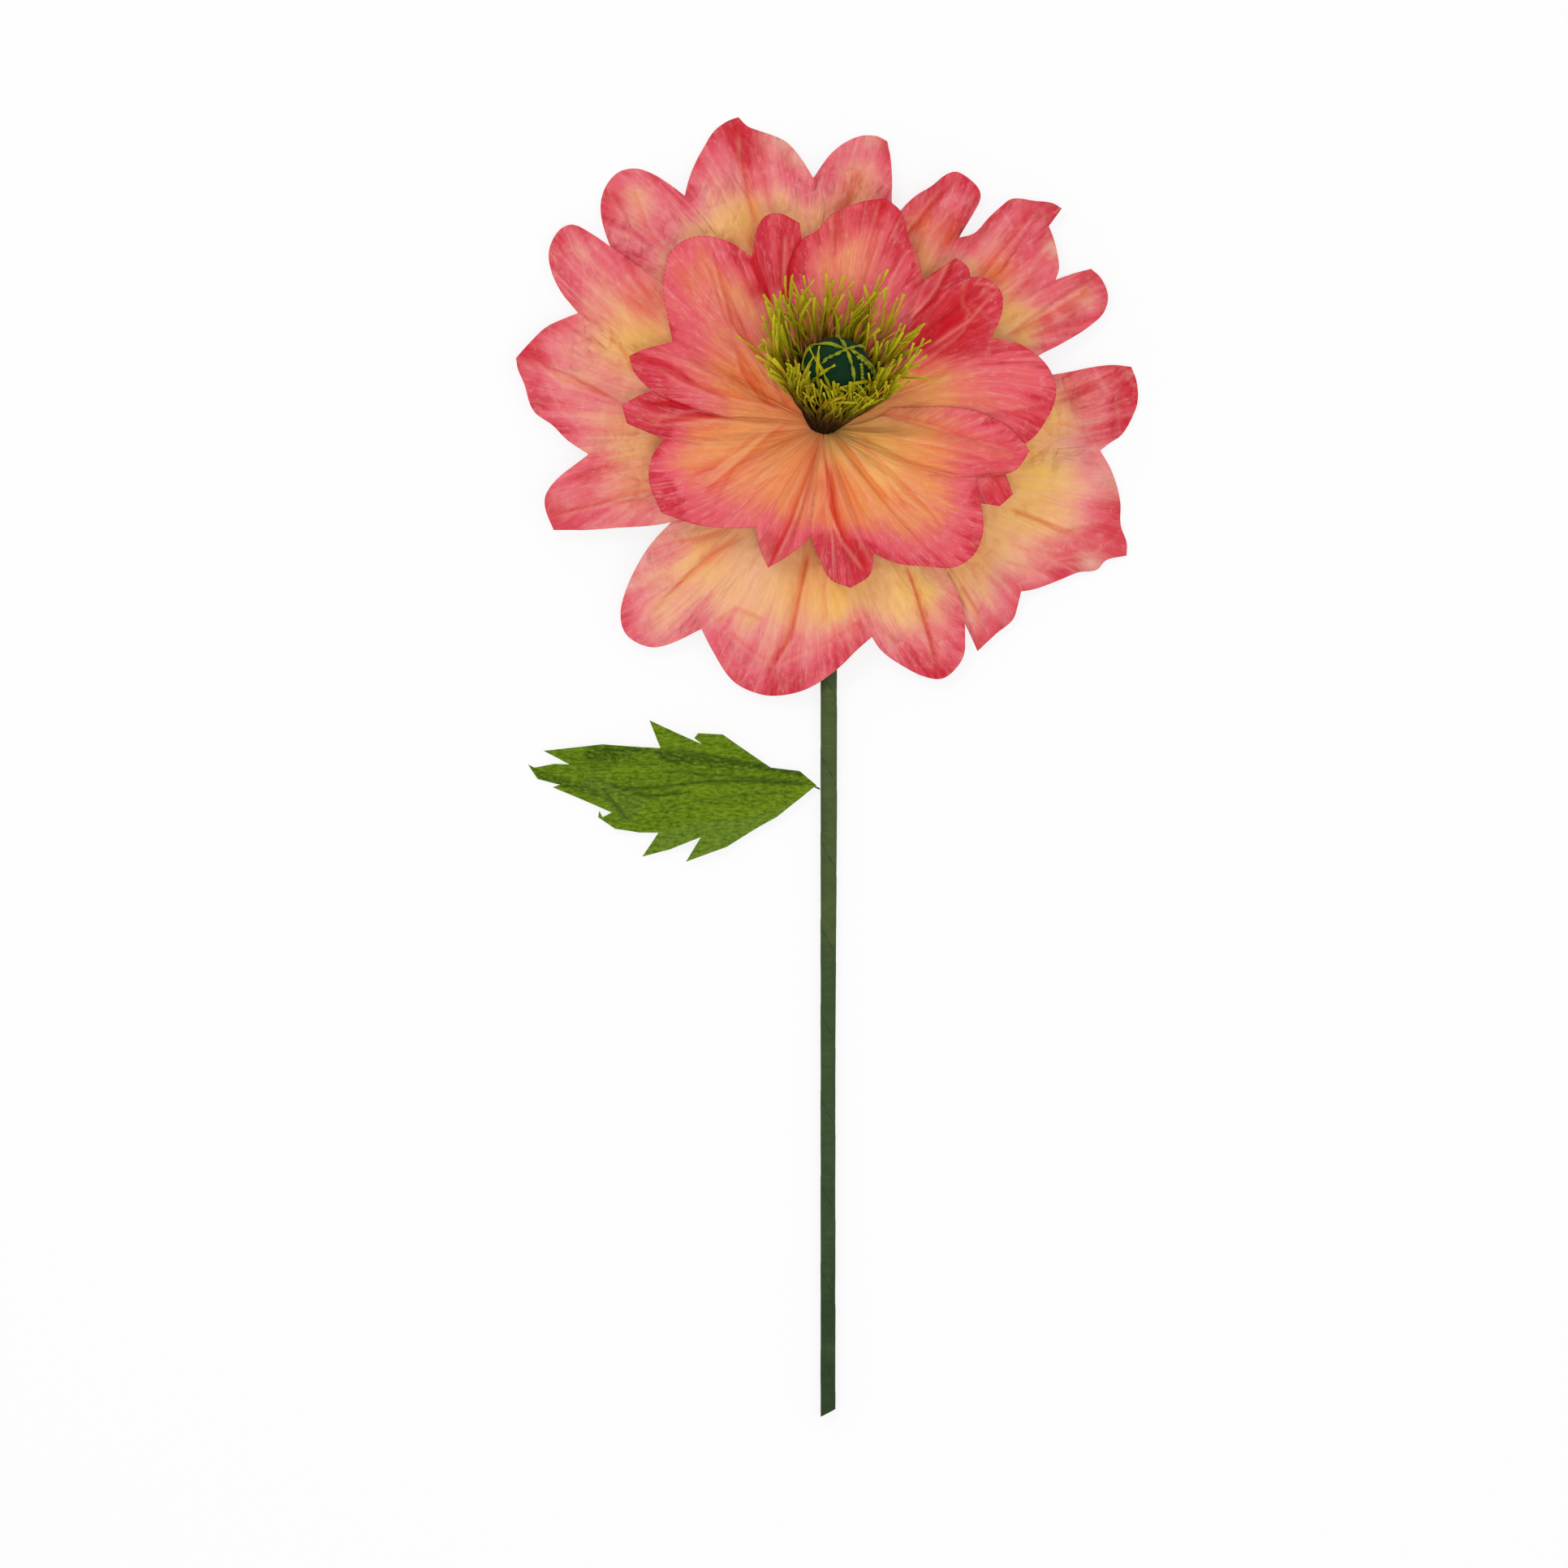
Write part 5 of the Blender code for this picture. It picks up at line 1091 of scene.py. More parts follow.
def leaf_material():
    """Grained crepe with speckles, greyer facets, and painted shade on its folded facets and in its creases.
    """
    g = Graph("leaf_look")
    fibre = g.attribute("fibre", vector=True)
    grain = g.noise(g.stretch(fibre, (70.0, 1700.0, 1.0)), 1.0, 4.0, 0.6, 0.2)
    speckle = g.noise(g.stretch(fibre, (190.0, 460.0, 1.0)), 1.0, 3.0, 0.7)
    broad = g.noise(g.stretch(fibre, (16.0, 120.0, 1.0)), 1.0, 3.0, 0.6)
    base = g.ramp(g.span(broad, 0.25, 0.75), (0.0, colour(80, 108, 2)), (0.5, colour(98, 126, 8)),
                  (1.0, colour(118, 142, 18)))
    base = g.blend(g.attribute("warm"), base, colour(134, 144, 12))
    base = g.blend(g.attribute("grey"), base, colour(104, 130, 38))
    # Painted shade on the folded facets
    base = g.blend(g.attribute("shade"), base, colour(54, 80, 0))
    base = g.blend(g.span(speckle, 0.5, 0.68, 0.0, 0.55), base, colour(138, 166, 50))
    base = g.blend(g.span(speckle, 0.32, 0.5, 1.0, 0.0), base, (0.42, 0.52, 0.16), "MULTIPLY")
    base = g.blend(g.span(grain, 0.4, 0.75, 0.0, 0.5), base, (0.45, 0.55, 0.3), "MULTIPLY")
    # Painted shade in the creases
    base = g.blend(g.maths("MULTIPLY", g.attribute("crease_shade_and_seam"), 0.8), base, colour(28, 52, 6))
    normal = g.bump(grain, 0.0004, 0.7)
    return g.finish(base, g.span(grain, *MOST, 0.6, 0.75), normal, Specular_IOR_Level=0.1)


def wrap_material():
    """Dark green crepe wound aslant, with a darker seam."""
    g = Graph("stem_wrap_look")
    wrap = g.attribute("fibre", vector=True)
    ridges = g.noise(g.stretch(wrap, (260.0, 1100.0, 1.0), (0.0, 0.0, 0.55)), 1.0, 4.0, 0.6, 0.4)
    wrinkle = g.noise(g.stretch(wrap, (60.0, 240.0, 1.0), (0.0, 0.0, 0.55)), 1.0, 3.0, 0.5, 0.6)
    mottle = g.noise(g.object_place(), 30.0, 3.0, 0.55)
    up = g.maths("ADD", g.attribute("up"), g.span(mottle, *MOST, -0.25, 0.25), clamp=True)
    base = g.ramp(up, (0.0, colour(54, 72, 44)), (0.3, colour(66, 84, 52)), (0.75, colour(70, 87, 53)),
                  (1.0, colour(84, 98, 56)))
    base = g.blend(g.span(wrinkle, *MOST, 0.6, 0.0), base, (0.62, 0.70, 0.62), "MULTIPLY")
    base = g.blend(g.span(ridges, 0.4, 0.75, 0.0, 0.4), base, (0.5, 0.55, 0.45), "MULTIPLY")
    base = g.blend(g.attribute("crease_shade_and_seam"), base, colour(36, 54, 32))
    normal = g.bump(wrinkle, 0.0009, 0.6, g.bump(ridges, 0.0004, 0.7))
    return g.finish(base, 0.72, normal, Specular_IOR_Level=0.1)


def wood_material():
    """Pale wood, grained along the rod."""
    g = Graph("rod_wood")
    place = g.object_place()
    rings = g.noise(g.stretch(place, (420.0, 12.0, 420.0)), 1.0, 3.0, 0.6, 0.5)
    base = g.ramp(rings, (0.25, colour(150, 112, 70)), (0.75, colour(196, 160, 112)))
    return g.finish(base, 0.75, g.bump(rings, 0.0003, 0.5), Specular_IOR_Level=0.3)


def wire_material():
    """Dark scratched wire."""
    g = Graph("dark_wire")
    scratch = g.noise(g.stretch(g.object_place(), (300.0, 900.0, 900.0)), 1.0, 3.0, 0.6)
    base = g.ramp(scratch, (0.3, colour(44, 44, 42)), (0.7, colour(78, 78, 74)))
    return g.finish(base, g.span(scratch, *MOST, 0.35, 0.55), g.bump(scratch, 0.0002, 0.4), Metallic=0.8)


def foam_material():
    """White foam of small beads."""
    g = Graph("ball_foam")
    beads = g.facets(g.object_place(), 420.0)
    base = g.ramp(beads, (0.0, colour(196, 196, 190)), (0.2, colour(238, 238, 232)))
    return g.finish(base, 0.8, g.bump(g.span(beads, 0.0, 0.3), 0.0006, 0.6), Specular_IOR_Level=0.3)


MATERIALS = {
    "outer": petal_material(
        "outer_petal_look",
        ((0.0, colour(246, 188, 128)), (0.2, colour(243, 180, 134)), (0.42, colour(238, 156, 138)),
         (0.62, colour(234, 122, 130)), (0.82, colour(228, 88, 106)), (1.0, colour(208, 50, 70))),
        shade=(0.95, 0.80, 0.72), rim=colour(206, 52, 70), rim_share=0.4),
    "inner": petal_material(
        "inner_petal_look",
        ((0.0, colour(238, 150, 88)), (0.22, colour(235, 140, 92)), (0.42, colour(231, 116, 98)),
         (0.64, colour(231, 98, 108)), (0.86, colour(226, 80, 98)), (1.0, colour(206, 42, 64))),
        shade=(0.95, 0.78, 0.70), rim=colour(176, 20, 40), rim_share=0.75),
    "stamen": stamen_material(),
    "ball": crepe_material("ball_cover_look", colour(8, 34, 20), colour(22, 66, 36), (900.0, 40.0, 1.0), 0.8),
    "ray": crepe_material("ray_look", colour(104, 118, 16), colour(164, 170, 46), (1500.0, 60.0, 1.0), 0.7),
    "leaf": leaf_material(),
    "wrap": wrap_material(),
    "wood": wood_material(),
    "wire": wire_material(),
    "foam": foam_material(),
}


def settle(piece, node):
    """Make a piece take the place of a node of the CAD: hang it on the root body and hide the node."""
    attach(piece, "root")
    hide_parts(node)


def petals():
    """The ten petal sheets."""
    for sheets, inner in ((OUTER_SHEETS, False), (INNER_SHEETS, True)):
        kind = "inner" if inner else "outer"
        for name, sheet in sheets.items():
            points, fields = Sheet(name, sheet, inner).surface()
            piece = closed_sheet(name + "_paper", points, PETAL_PAPER, kind, fields)
            settle(piece, name)


def on_ball(px, py, lift):
    """The place on the ball that a pixel shows, lifted off it."""
    x, y = spot(px, py)
    x, y = x - BALL_CENTRE[0], y - BALL_CENTRE[1]
    away = min(math.hypot(x, y), BALL_RADIUS * 0.985)
    scale = away / max(math.hypot(x, y), 1e-9)
    x, y = x * scale, y * scale
    z = math.sqrt(BALL_RADIUS ** 2 - x * x - y * y)
    way = np.array((x, y, z)) / BALL_RADIUS
    return BALL_CENTRE + way * (BALL_RADIUS + lift)


def smooth_path(points, count):
    """Points read at even steps from a smooth curve through the given ones."""
    points = np.asarray(points)
    ends = np.concatenate([[2 * points[0] - points[1]], points, [2 * points[-1] - points[-2]]])
    out = []
    for t in np.linspace(0.0, len(points) - 1.0, count):
        i = min(int(t), len(points) - 2)
        f = t - i
        a, b, c, d = ends[i:i + 4]
        out.append(0.5 * (2 * b + (c - a) * f + (2 * a - 5 * b + 4 * c - d) * f * f
                          + (3 * b - a - 3 * c + d) * f ** 3))
    return np.array(out)


def tube(path, radii):
    """Rings of a tube along a path, as an array of rings by sides, from the radius of each side."""
    path = np.asarray(path)
    tangents = np.gradient(path, axis=0)
    tangents /= np.linalg.norm(tangents, axis=1, keepdims=True)
    turns = even_turns(radii.shape[1])
    out = np.zeros((*radii.shape, 3))
    for i, (place, tangent) in enumerate(zip(path, tangents)):
        side = np.array((1.0, 0.0, 0.0)) - tangent * tangent[0]
        side /= np.linalg.norm(side)
        other = np.cross(tangent, side)
        out[i] = place + (np.cos(turns)[:, None] * side + np.sin(turns)[:, None] * other) * radii[i][:, None]
    return out


def tube_along_x(path, radius, sides):
    """Rings of a tube along a path, each one square to X."""
    turns = even_turns(sides)
    circle = np.stack([0 * turns, np.cos(turns), np.sin(turns)], -1) * radius
    return path[:, None, :] + circle[None, :, :]


def ring_faces(count, sides):
    """The faces between rings of verts, and the number of each vert."""
    index = np.arange(count * sides).reshape(count, sides)
    after = np.roll(index, -1, axis=1)
    return np.stack([index[:-1], after[:-1], after[1:], index[1:]], -1).reshape(-1, 4), index


def sleeve(name, outer, inner, fibre, up, seam):
    """A wrapped paper sleeve, open at both ends, from the rings of its outer and inner skins."""
    count, sides = outer.shape[:2]
    faces, index = ring_faces(count, sides)
    size = count * sides
    ends = []
    for row, flip in ((0, False), (-1, True)):
        a, b = index[row], np.roll(index[row], -1)
        end = np.stack([a, a + size, b + size, b], -1)
        ends.append(end[:, ::-1] if flip else end)
    faces = np.concatenate([faces[:, ::-1], faces + size, *ends])
    fields = dict(fibre=fibre.reshape(-1, 3), up=up.ravel(), crease_shade_and_seam=seam.ravel())
    return mesh_object(name, np.concatenate([outer.reshape(-1, 3), inner.reshape(-1, 3)]), faces, "wrap",
                       {key: np.concatenate([value] * 2) for key, value in fields.items()})


def ribbon(path, widths, thick, twists, start_turn=0.0):
    """Verts and faces of a twisted strip along a path, and each vert's share along it."""
    path = np.asarray(path)
    count = len(path)
    tangents = np.gradient(path, axis=0)
    tangents /= np.linalg.norm(tangents, axis=1, keepdims=True)
    side = np.cross(tangents[0], (0.31, 0.52, 0.79))
    verts, shares = [], []
    for i in range(count):
        side = side - tangents[i] * (side @ tangents[i])
        side /= np.linalg.norm(side)
        other = np.cross(tangents[i], side)
        t = i / (count - 1)
        turn = start_turn + 2 * math.pi * twists * t
        a = side * math.cos(turn) + other * math.sin(turn)
        b = -side * math.sin(turn) + other * math.cos(turn)
        w, h = widths[i] / 2, thick / 2
        for u, v in ((-w, -h), (w, -h), (w, h), (-w, h)):
            verts.append(path[i] + a * u + b * v)
            shares.append((u, t))
    faces = [(0, 1, 2, 3)]
    for i in range(count - 1):
        for k in range(4):
            m = (k + 1) % 4
            faces.append((4 * i + k, 4 * i + 4 + k, 4 * i + 4 + m, 4 * i + m))
    last = 4 * (count - 1)
    faces.append((last + 3, last + 2, last + 1, last))
    return verts, faces, shares


class Bunch:
    """Many strips gathered in one mesh."""

    def __init__(self):
        self.verts, self.faces = [], []
        self.fibre, self.up, self.tone, self.dim = [], [], [], []

    def add(self, path, widths, thick, twists, tone, start_turn=0.0, low=0.0, high=1.0, dim=0.0):
        """Add a strip whose share of the way up runs from low to high, with painted shade toward its root."""
        verts, faces, shares = ribbon(path, widths, thick, twists, start_turn)
        start = len(self.verts)
        length = float(np.linalg.norm(np.diff(np.asarray(path), axis=0), axis=1).sum())
        self.verts += verts
        self.faces += [tuple(start + i for i in face) for face in faces]
        self.fibre += [(u + 0.013 * start, t * length, 0.0) for u, t in shares]
        self.up += [mix(low, high, t) for _, t in shares]
        self.tone += [tone] * len(verts)
        self.dim += [dim * (1.1 - t) for _, t in shares]

    def made(self, name, kind):
        """The mesh of all the strips."""
        return mesh_object(name, self.verts, self.faces, kind,
                           dict(fibre=self.fibre, up=self.up, tone=self.tone, dim=self.dim), 40.0)


COLLAR_SIDES = 48

# Stamens of each strip: how many, lean in degrees at the root and at the tip, and length
STAMENS = ((38, 28.0, 28.0, 0.094), (63, 28.5, 30.5, 0.102), (90, 29.0, 33.5, 0.108))

STAMEN_STEPS, STAMEN_THICKNESS, STAMEN_ROOT_WIDTH = 16, 0.0008, 0.0012
# The parts of the way up a stamen where it bends
STAMEN_BENDS = ((0.1, 0.4), (0.45, 0.7), (0.72, 0.95))
# How much closer the stamens stand at the front of the ring than at its sides
FRONT_CROWDING = 0.20
# The share of the stamens that fork, and the points of a fork
FORK_SHARE, FORK_POINTS = 0.55, 6

# Stamens that bend over the ball, as pixels along the part that lies before it
BENT_STAMENS = (
    ((1026, 484), (1020, 469), (1014, 456), (1003, 437)),
    ((1015, 484), (1011, 470), (1011, 456), (1013, 435)),
    ((992, 486), (996, 472), (1000, 460), (1007, 446)),
    ((1000, 478), (1008, 468), (1017, 461), (1029, 454)),
    ((1006, 482), (1000, 473), (995, 466), (988, 456)),
    ((1066, 489), (1064, 481), (1063, 473)),
    ((1080, 474), (1070, 472), (1058, 471), (1043, 474), (1027, 481)))


def collar(bunch, inside, outside):
    """The rolled uncut part of a fringe strip, down inside the gathered petals."""
    count = COLLAR_SIDES
    start = len(bunch.verts)
    for radius, height in ((inside, 0.0), (outside, 0.0), (outside, -STRIP_HEIGHT), (inside, -STRIP_HEIGHT)):
        for i in range(count):
            turn = 2 * math.pi * i / count
            way = ACROSS * math.cos(turn) + UP * math.sin(turn)
            bunch.verts.append(THROAT + way * squeeze(turn, radius) + AXIS * height)
            bunch.fibre.append((turn * radius, height, 0.0))
            bunch.up.append(0.0)
            bunch.tone.append(0.3)
            # Painted shade down inside the gathered petals
            bunch.dim.append(0.9)
    for k in range(4):
        for i in range(count):
            a, b = start + k * count + i, start + k * count + (i + 1) % count
            m = ((k + 1) % 4 - k) * count
            bunch.faces.append((a, b, b + m, a + m))


def stamen_path(place, way, start_lean, end_lean, leans, swings, reach):
    """Points of a stamen that leans outwards and swings aside by more at each of its bends."""
    aside = np.cross(AXIS, way)
    path = [place.copy()]
    for k in range(STAMEN_STEPS):
        t = (k + 0.5) / STAMEN_STEPS
        bends = [float(smooth(low, high, t)) for low, high in STAMEN_BENDS]
        lean = math.radians(mix(start_lean, end_lean, t) + sum(a * b for a, b in zip(leans, bends)))
        swing = math.radians(sum(a * b for a, b in zip(swings, bends)))
        forward = AXIS * math.cos(lean) + way * math.sin(lean) + aside * math.sin(swing)
        place = place + forward / np.linalg.norm(forward) * (reach / STAMEN_STEPS)
        path.append(place.copy())
    return path


def add_stamen(bunch, shake, turn, index):
    """One stamen of a strip. Those at the front are shorter, those behind and on the left longer."""
    _, start_lean, end_lean, length = STAMENS[index]
    way = ACROSS * math.cos(turn) + UP * math.sin(turn)
    front = float(smooth(-0.2, -0.8, math.sin(turn)))
    left = max(0.0, -math.cos(turn))
    back = float(smooth(0.3, 0.9, math.sin(turn)))
    reach = length * shake.uniform(0.80, 1.10) * (1.0 - 0.10 * front + 0.07 * left + 0.08 * back)
    spread = end_lean * shake.uniform(0.90, 1.05) * (1.0 - 0.05 * left)
    leans = (shake.uniform(-2, 4), shake.uniform(-14, 8) - 10 * front + 4 * left,
             shake.uniform(-26, 14) - 14 * front + 6 * left)
    swings = (shake.uniform(-7, 7), shake.uniform(-18, 18), shake.uniform(-40, 40) * (1 + front))
    place = THROAT + way * squeeze(turn, STRIP_RADII[index] + STRIP_THICKNESS / 2) - AXIS * 0.004
    path = stamen_path(place, way, start_lean, spread, leans, swings, reach)
    wide = shake.uniform(0.0021, 0.0031) * (1.0 - 0.2 * front)
    pinch = shake.uniform(0.0, 6.0)
    widths = [wide * (0.82 + 0.22 * math.sin(pinch + 1.3 * k)) for k in range(STAMEN_STEPS + 1)]
    widths[0] = STAMEN_ROOT_WIDTH
    bunch.add(path, widths, STAMEN_THICKNESS, twists=shake.uniform(0.6, 2.2),
              tone=shake.uniform(0.0, 1.0) ** 1.3, start_turn=shake.uniform(0.0, 3.0),
              low=0.17 * float(smooth(0.25, -0.55, math.sin(turn))), high=1.0 - 0.12 * front,
              dim=shake.uniform(0.0, 1.0) ** 1.5)
    if shake.random() < FORK_SHARE:
        aside = np.cross(AXIS, way)
        lean_out = (way * shake.uniform(-0.4, 0.6) + aside * shake.uniform(-1.0, 1.0)) * 0.0032
        fork = [p + lean_out * k for k, p in enumerate(path[-FORK_POINTS:])]
        bunch.add(fork, [wide * 0.75] * FORK_POINTS, 0.0007, twists=0.8, tone=shake.uniform(0.0, 0.8),
                  start_turn=1.0, low=0.7, high=1.0)


def add_bent_stamen(bunch, shake, strip):
    """A stamen that runs up under the ball's edge and bends over it."""
    over = [on_ball(px, py, 0.0045 + 0.0006 * k) for k, (px, py) in enumerate(strip)]
    outwards = over[0] - BALL_CENTRE
    aside = outwards - AXIS * (outwards @ AXIS)
    aside /= np.linalg.norm(aside)
    under = outwards - AXIS * 0.012
    under = BALL_CENTRE + under / np.linalg.norm(under) * (BALL_RADIUS + 0.0035)
    points = 30
    path = smooth_path([THROAT + AXIS * 0.002, THROAT + AXIS * 0.018 + aside * 0.006,
                        THROAT + AXIS * 0.034 + aside * 0.0150, under, *over], points)
    bunch.add(path, [0.0025 + 0.0003 * math.sin(1.9 * k) for k in range(points)], STAMEN_THICKNESS,
              twists=2.5, tone=shake.uniform(0.0, 0.4), low=0.3, high=0.92)


def stamens():
    """The dense fringe of twisted paper stamens, as one piece for each rolled strip."""
    for index, (count, *_) in enumerate(STAMENS):
        shake = random.Random(90 + index)
        bunch = Bunch()
        collar(bunch, STRIP_RADII[index], STRIP_RADII[index] + STRIP_THICKNESS)
        for i in range(count):
            turn = 2 * math.pi * (i + shake.uniform(-0.4, 0.4)) / count
            add_stamen(bunch, shake, turn - FRONT_CROWDING * math.cos(turn), index)
        if index == 0:
            for strip in BENT_STAMENS:
                add_bent_stamen(bunch, shake, strip)
        piece = bunch.made(f"stamens_{index + 1}", "stamen")
        settle(piece, f"stamen_strip_{index + 1}")


COVER_TURNS, COVER_RINGS = 96, 60
COVER_HOLE = 0.0048
COVER_INSET, COVER_THICKNESS = 0.0004, 0.0009


def ball():
    """The gathered crepe cover of the ball."""
    turns, rings = COVER_TURNS, COVER_RINGS
    points = np.zeros((turns, rings, 3))
    fibre = np.zeros((turns, rings, 3))
    low = -math.pi / 2 + math.asin(COVER_HOLE / BALL_RADIUS)
    for i in range(turns):
        turn = 2 * math.pi * i / turns
        way = ACROSS * math.cos(turn) + UP * math.sin(turn)
        for j in range(rings):
            rise = mix(low, math.pi / 2 - 0.0001, j / (rings - 1))
            gather = 0.0005 * math.sin(17 * turn + 1.4 * math.sin(3 * turn))
            gather *= max(0.0, -math.sin(rise)) ** 0.5
            gather += 0.00022 * math.sin(11 * turn + 2.0 * rise) * math.cos(rise)
            radius = BALL_RADIUS - COVER_INSET + gather
            points[i, j] = BALL_CENTRE + (way * math.cos(rise) + AXIS * math.sin(rise)) * radius
            fibre[i, j] = (turn * BALL_RADIUS * math.cos(rise), rise * BALL_RADIUS, 0.0)
    index = np.arange(turns * rings).reshape(turns, rings)
    after = np.roll(index, -1, axis=0)
    faces = np.stack([index[:, :-1], after[:, :-1], after[:, 1:], index[:, 1:]], -1).reshape(-1, 4)
    verts = points.reshape(-1, 3)
    core = BALL_CENTRE + (verts - BALL_CENTRE) * ((BALL_RADIUS - COVER_THICKNESS) / BALL_RADIUS)
    size = len(verts)
    walls = np.stack([index[:, 0], index[:, 0] + size, after[:, 0] + size, after[:, 0]], -1)
    faces = np.concatenate([faces, faces[:, ::-1] + size, walls])
    piece = mesh_object("seed_cover_paper", np.concatenate([verts, core]), faces, "ball",
                        dict(fibre=np.concatenate([fibre.reshape(-1, 3)] * 2)))
    settle(piece, "seed_cover")


# Strips over the ball, as pixels along each
BALL_STRIPS = (
    ((991, 459), (991, 448), (994, 437), (1000, 430), (1009, 427), (1023, 427), (1034, 431), (1042, 434)),
    ((1042, 434), (1049, 432), (1059, 430), (1068, 430)),
    ((1031, 413), (1037, 424), (1042, 434), (1047, 448), (1050, 461), (1051, 474)),
    ((1014, 451), (1020, 445), (1027, 442), (1037, 437), (1045, 434)),
    ((1045, 435), (1059, 443), (1072, 456), (1082, 470)),
    ((1053, 443), (1064, 451), (1078, 465)),
    ((1058, 451), (1059, 462), (1059, 474)))


def rays():
    """The pale twisted strips that cross over the ball."""
    bunch = Bunch()
    for k, strip in enumerate(BALL_STRIPS):
        path = smooth_path([on_ball(px, py, 0.0009 + 0.0003 * k) for px, py in strip], 6 * len(strip))
        bunch.add(path, [0.0026 + 0.0003 * math.sin(1.7 * i + k) for i in range(len(path))], 0.0008,
                  twists=1.2 + 0.3 * k, tone=0.5, start_turn=0.4 * k)
    piece = bunch.made("ball_strips", "ray")
    settle(piece, "seed_rays")


STEM_RINGS, STEM_SIDES = 420, 32
WRAP_PITCH = 0.066
SEAM_AT = (1031, 1187)
# How much thicker the wrap is near the flower, and the pixel rows where it swells and thins again
STEM_SWELL = 0.0006
SWELL_FROM, SWELL_FULL, SWELL_LAST, SWELL_END = 1350, 960, 800, 700
# The wrap's radius where its turn begins, under the solid's, and its gap to the rod
WRAP_SINK, ROD_GAP = 0.00029, 0.0003
WRAP_STEP, WRAP_WRINKLE, WRAP_SWAY = 0.00018, 0.00010, 0.00012


def row_y(py):
    """Y in the frame of a pixel row."""
    return spot(0, py)[1]


def wound_fields(turns, radius, along, phase, pitch, seam_width):
    """Fibre coordinates of wound paper, and a dark line where one turn of it ends."""
    fibre = np.stack([np.broadcast_to(turns[None, :] * radius, phase.shape),
                      np.broadcast_to(along[:, None], phase.shape), 0 * phase], -1)
    return fibre, 0.7 * falloff(np.minimum(phase, 1 - phase) * pitch, seam_width)


def stem_wrap():
    """The wrapped paper sleeve with its winding seam and small wrinkles."""
    y = np.linspace(STEM_END_Y, STEM_TOP_Y, STEM_RINGS)
    turns = even_turns(STEM_SIDES)
    swell = STEM_SWELL * smooth(row_y(SWELL_FROM), row_y(SWELL_FULL), y)
    swell = swell * smooth(row_y(SWELL_END), row_y(SWELL_LAST), y)
    path = np.stack([STEM_X + swell, y, WRAP_RADIUS + swell], axis=1)
    phase = ((y[:, None] - row_y(SEAM_AT[1])) / WRAP_PITCH + turns[None, :] / (2 * math.pi)) % 1.0
    step = WRAP_STEP * phase
    aslant = y[:, None] * 0.5 + turns[None, :] * 0.002
    wrinkle = WRAP_WRINKLE * (noise(aslant, turns[None, :] * 0.006, 0.0025, 4) - 0.5)
    sway = WRAP_SWAY * (noise(y[:, None] + 0 * turns[None, :], 0 * phase, 0.02, 6) - 0.5)
    radii = WRAP_RADIUS - WRAP_SINK + swell[:, None] + step + wrinkle + sway
    outer, inner = tube(path, radii), tube(path, np.full_like(radii, ROD_RADIUS + ROD_GAP))
    for skin in (outer, inner):
        near_end = smooth(STEM_END_Y + 0.02, STEM_END_Y, skin[..., 1])
        skin[..., 1] += (skin[..., 0] - STEM_X) / (2 * WRAP_RADIUS) * STEM_CUT_RISE * near_end
    fibre, seam = wound_fields(turns, WRAP_RADIUS, y, phase, WRAP_PITCH, 0.0007)
    seam = np.maximum(seam, smooth(STEM_END_Y + 0.0016, STEM_END_Y, y)[:, None])
    up = np.broadcast_to(smooth(STEM_END_Y, row_y(900), y)[:, None], radii.shape)
    settle(sleeve("stem_wrap_paper", outer, inner, fibre, up, seam), "stem_wrap")


NECK_RINGS, NECK_SIDES = 150, 48
TAPE_PITCH = 0.011
# Inner radius of the tape on the stem and on the petal bases
TAPE_ON_STEM, TAPE_ON_PETALS = 0.0051, 0.0112
TAPE_THICKNESS, TAPE_STEP, TAPE_WRINKLE = 0.00055, 0.00025, 0.0002


def neck_tape():
    """Paper tape wound round the petal bases and down on to the stem."""
    start = np.array((STEM_X, STEM_TOP_Y + NECK_START, WRAP_RADIUS))
    end = THROAT - AXIS * NECK_STRAIGHT
    pull = np.linalg.norm(end - start) * NECK_PULL
    corners = (start, start + np.array((0, pull, 0)), end - AXIS * pull, end)
    bend = [sum(corner * math.comb(3, k) * t ** k * (1 - t) ** (3 - k) for k, corner in enumerate(corners))
            for t in np.linspace(0, 1, 7)]
    path = [start - np.array((0, 0.0037, 0)), *bend, THROAT - AXIS * 0.023, THROAT - AXIS * 0.013]
    inside = [mix(TAPE_ON_STEM, TAPE_ON_PETALS, float(smooth(1, len(bend), np.array(i))))
              for i in range(len(path))]
    fine = smooth_path(path, NECK_RINGS)
    radius = np.interp(np.linspace(0, len(path) - 1, NECK_RINGS), range(len(path)), inside)
    turns = even_turns(NECK_SIDES)
    run = np.concatenate([[0], np.cumsum(np.linalg.norm(np.diff(fine, axis=0), axis=1))])
    phase = (run[:, None] / TAPE_PITCH + turns[None, :] / (2 * math.pi)) % 1.0
    wrinkle = TAPE_WRINKLE * (noise(run[:, None] * 2 + 0 * phase, turns[None, :] * 0.01, 0.004, 8) - 0.5)
    outer = tube(fine, radius[:, None] + TAPE_THICKNESS + TAPE_STEP * phase + wrinkle)
    inner = tube(fine, radius[:, None] + 0 * phase)
    fibre, seam = wound_fields(turns, 0.008, run, phase, TAPE_PITCH, 0.0006)
    piece = sleeve("neck_tape_paper", outer, inner, fibre, np.ones(phase.shape), seam)
    settle(piece, "neck_tape")


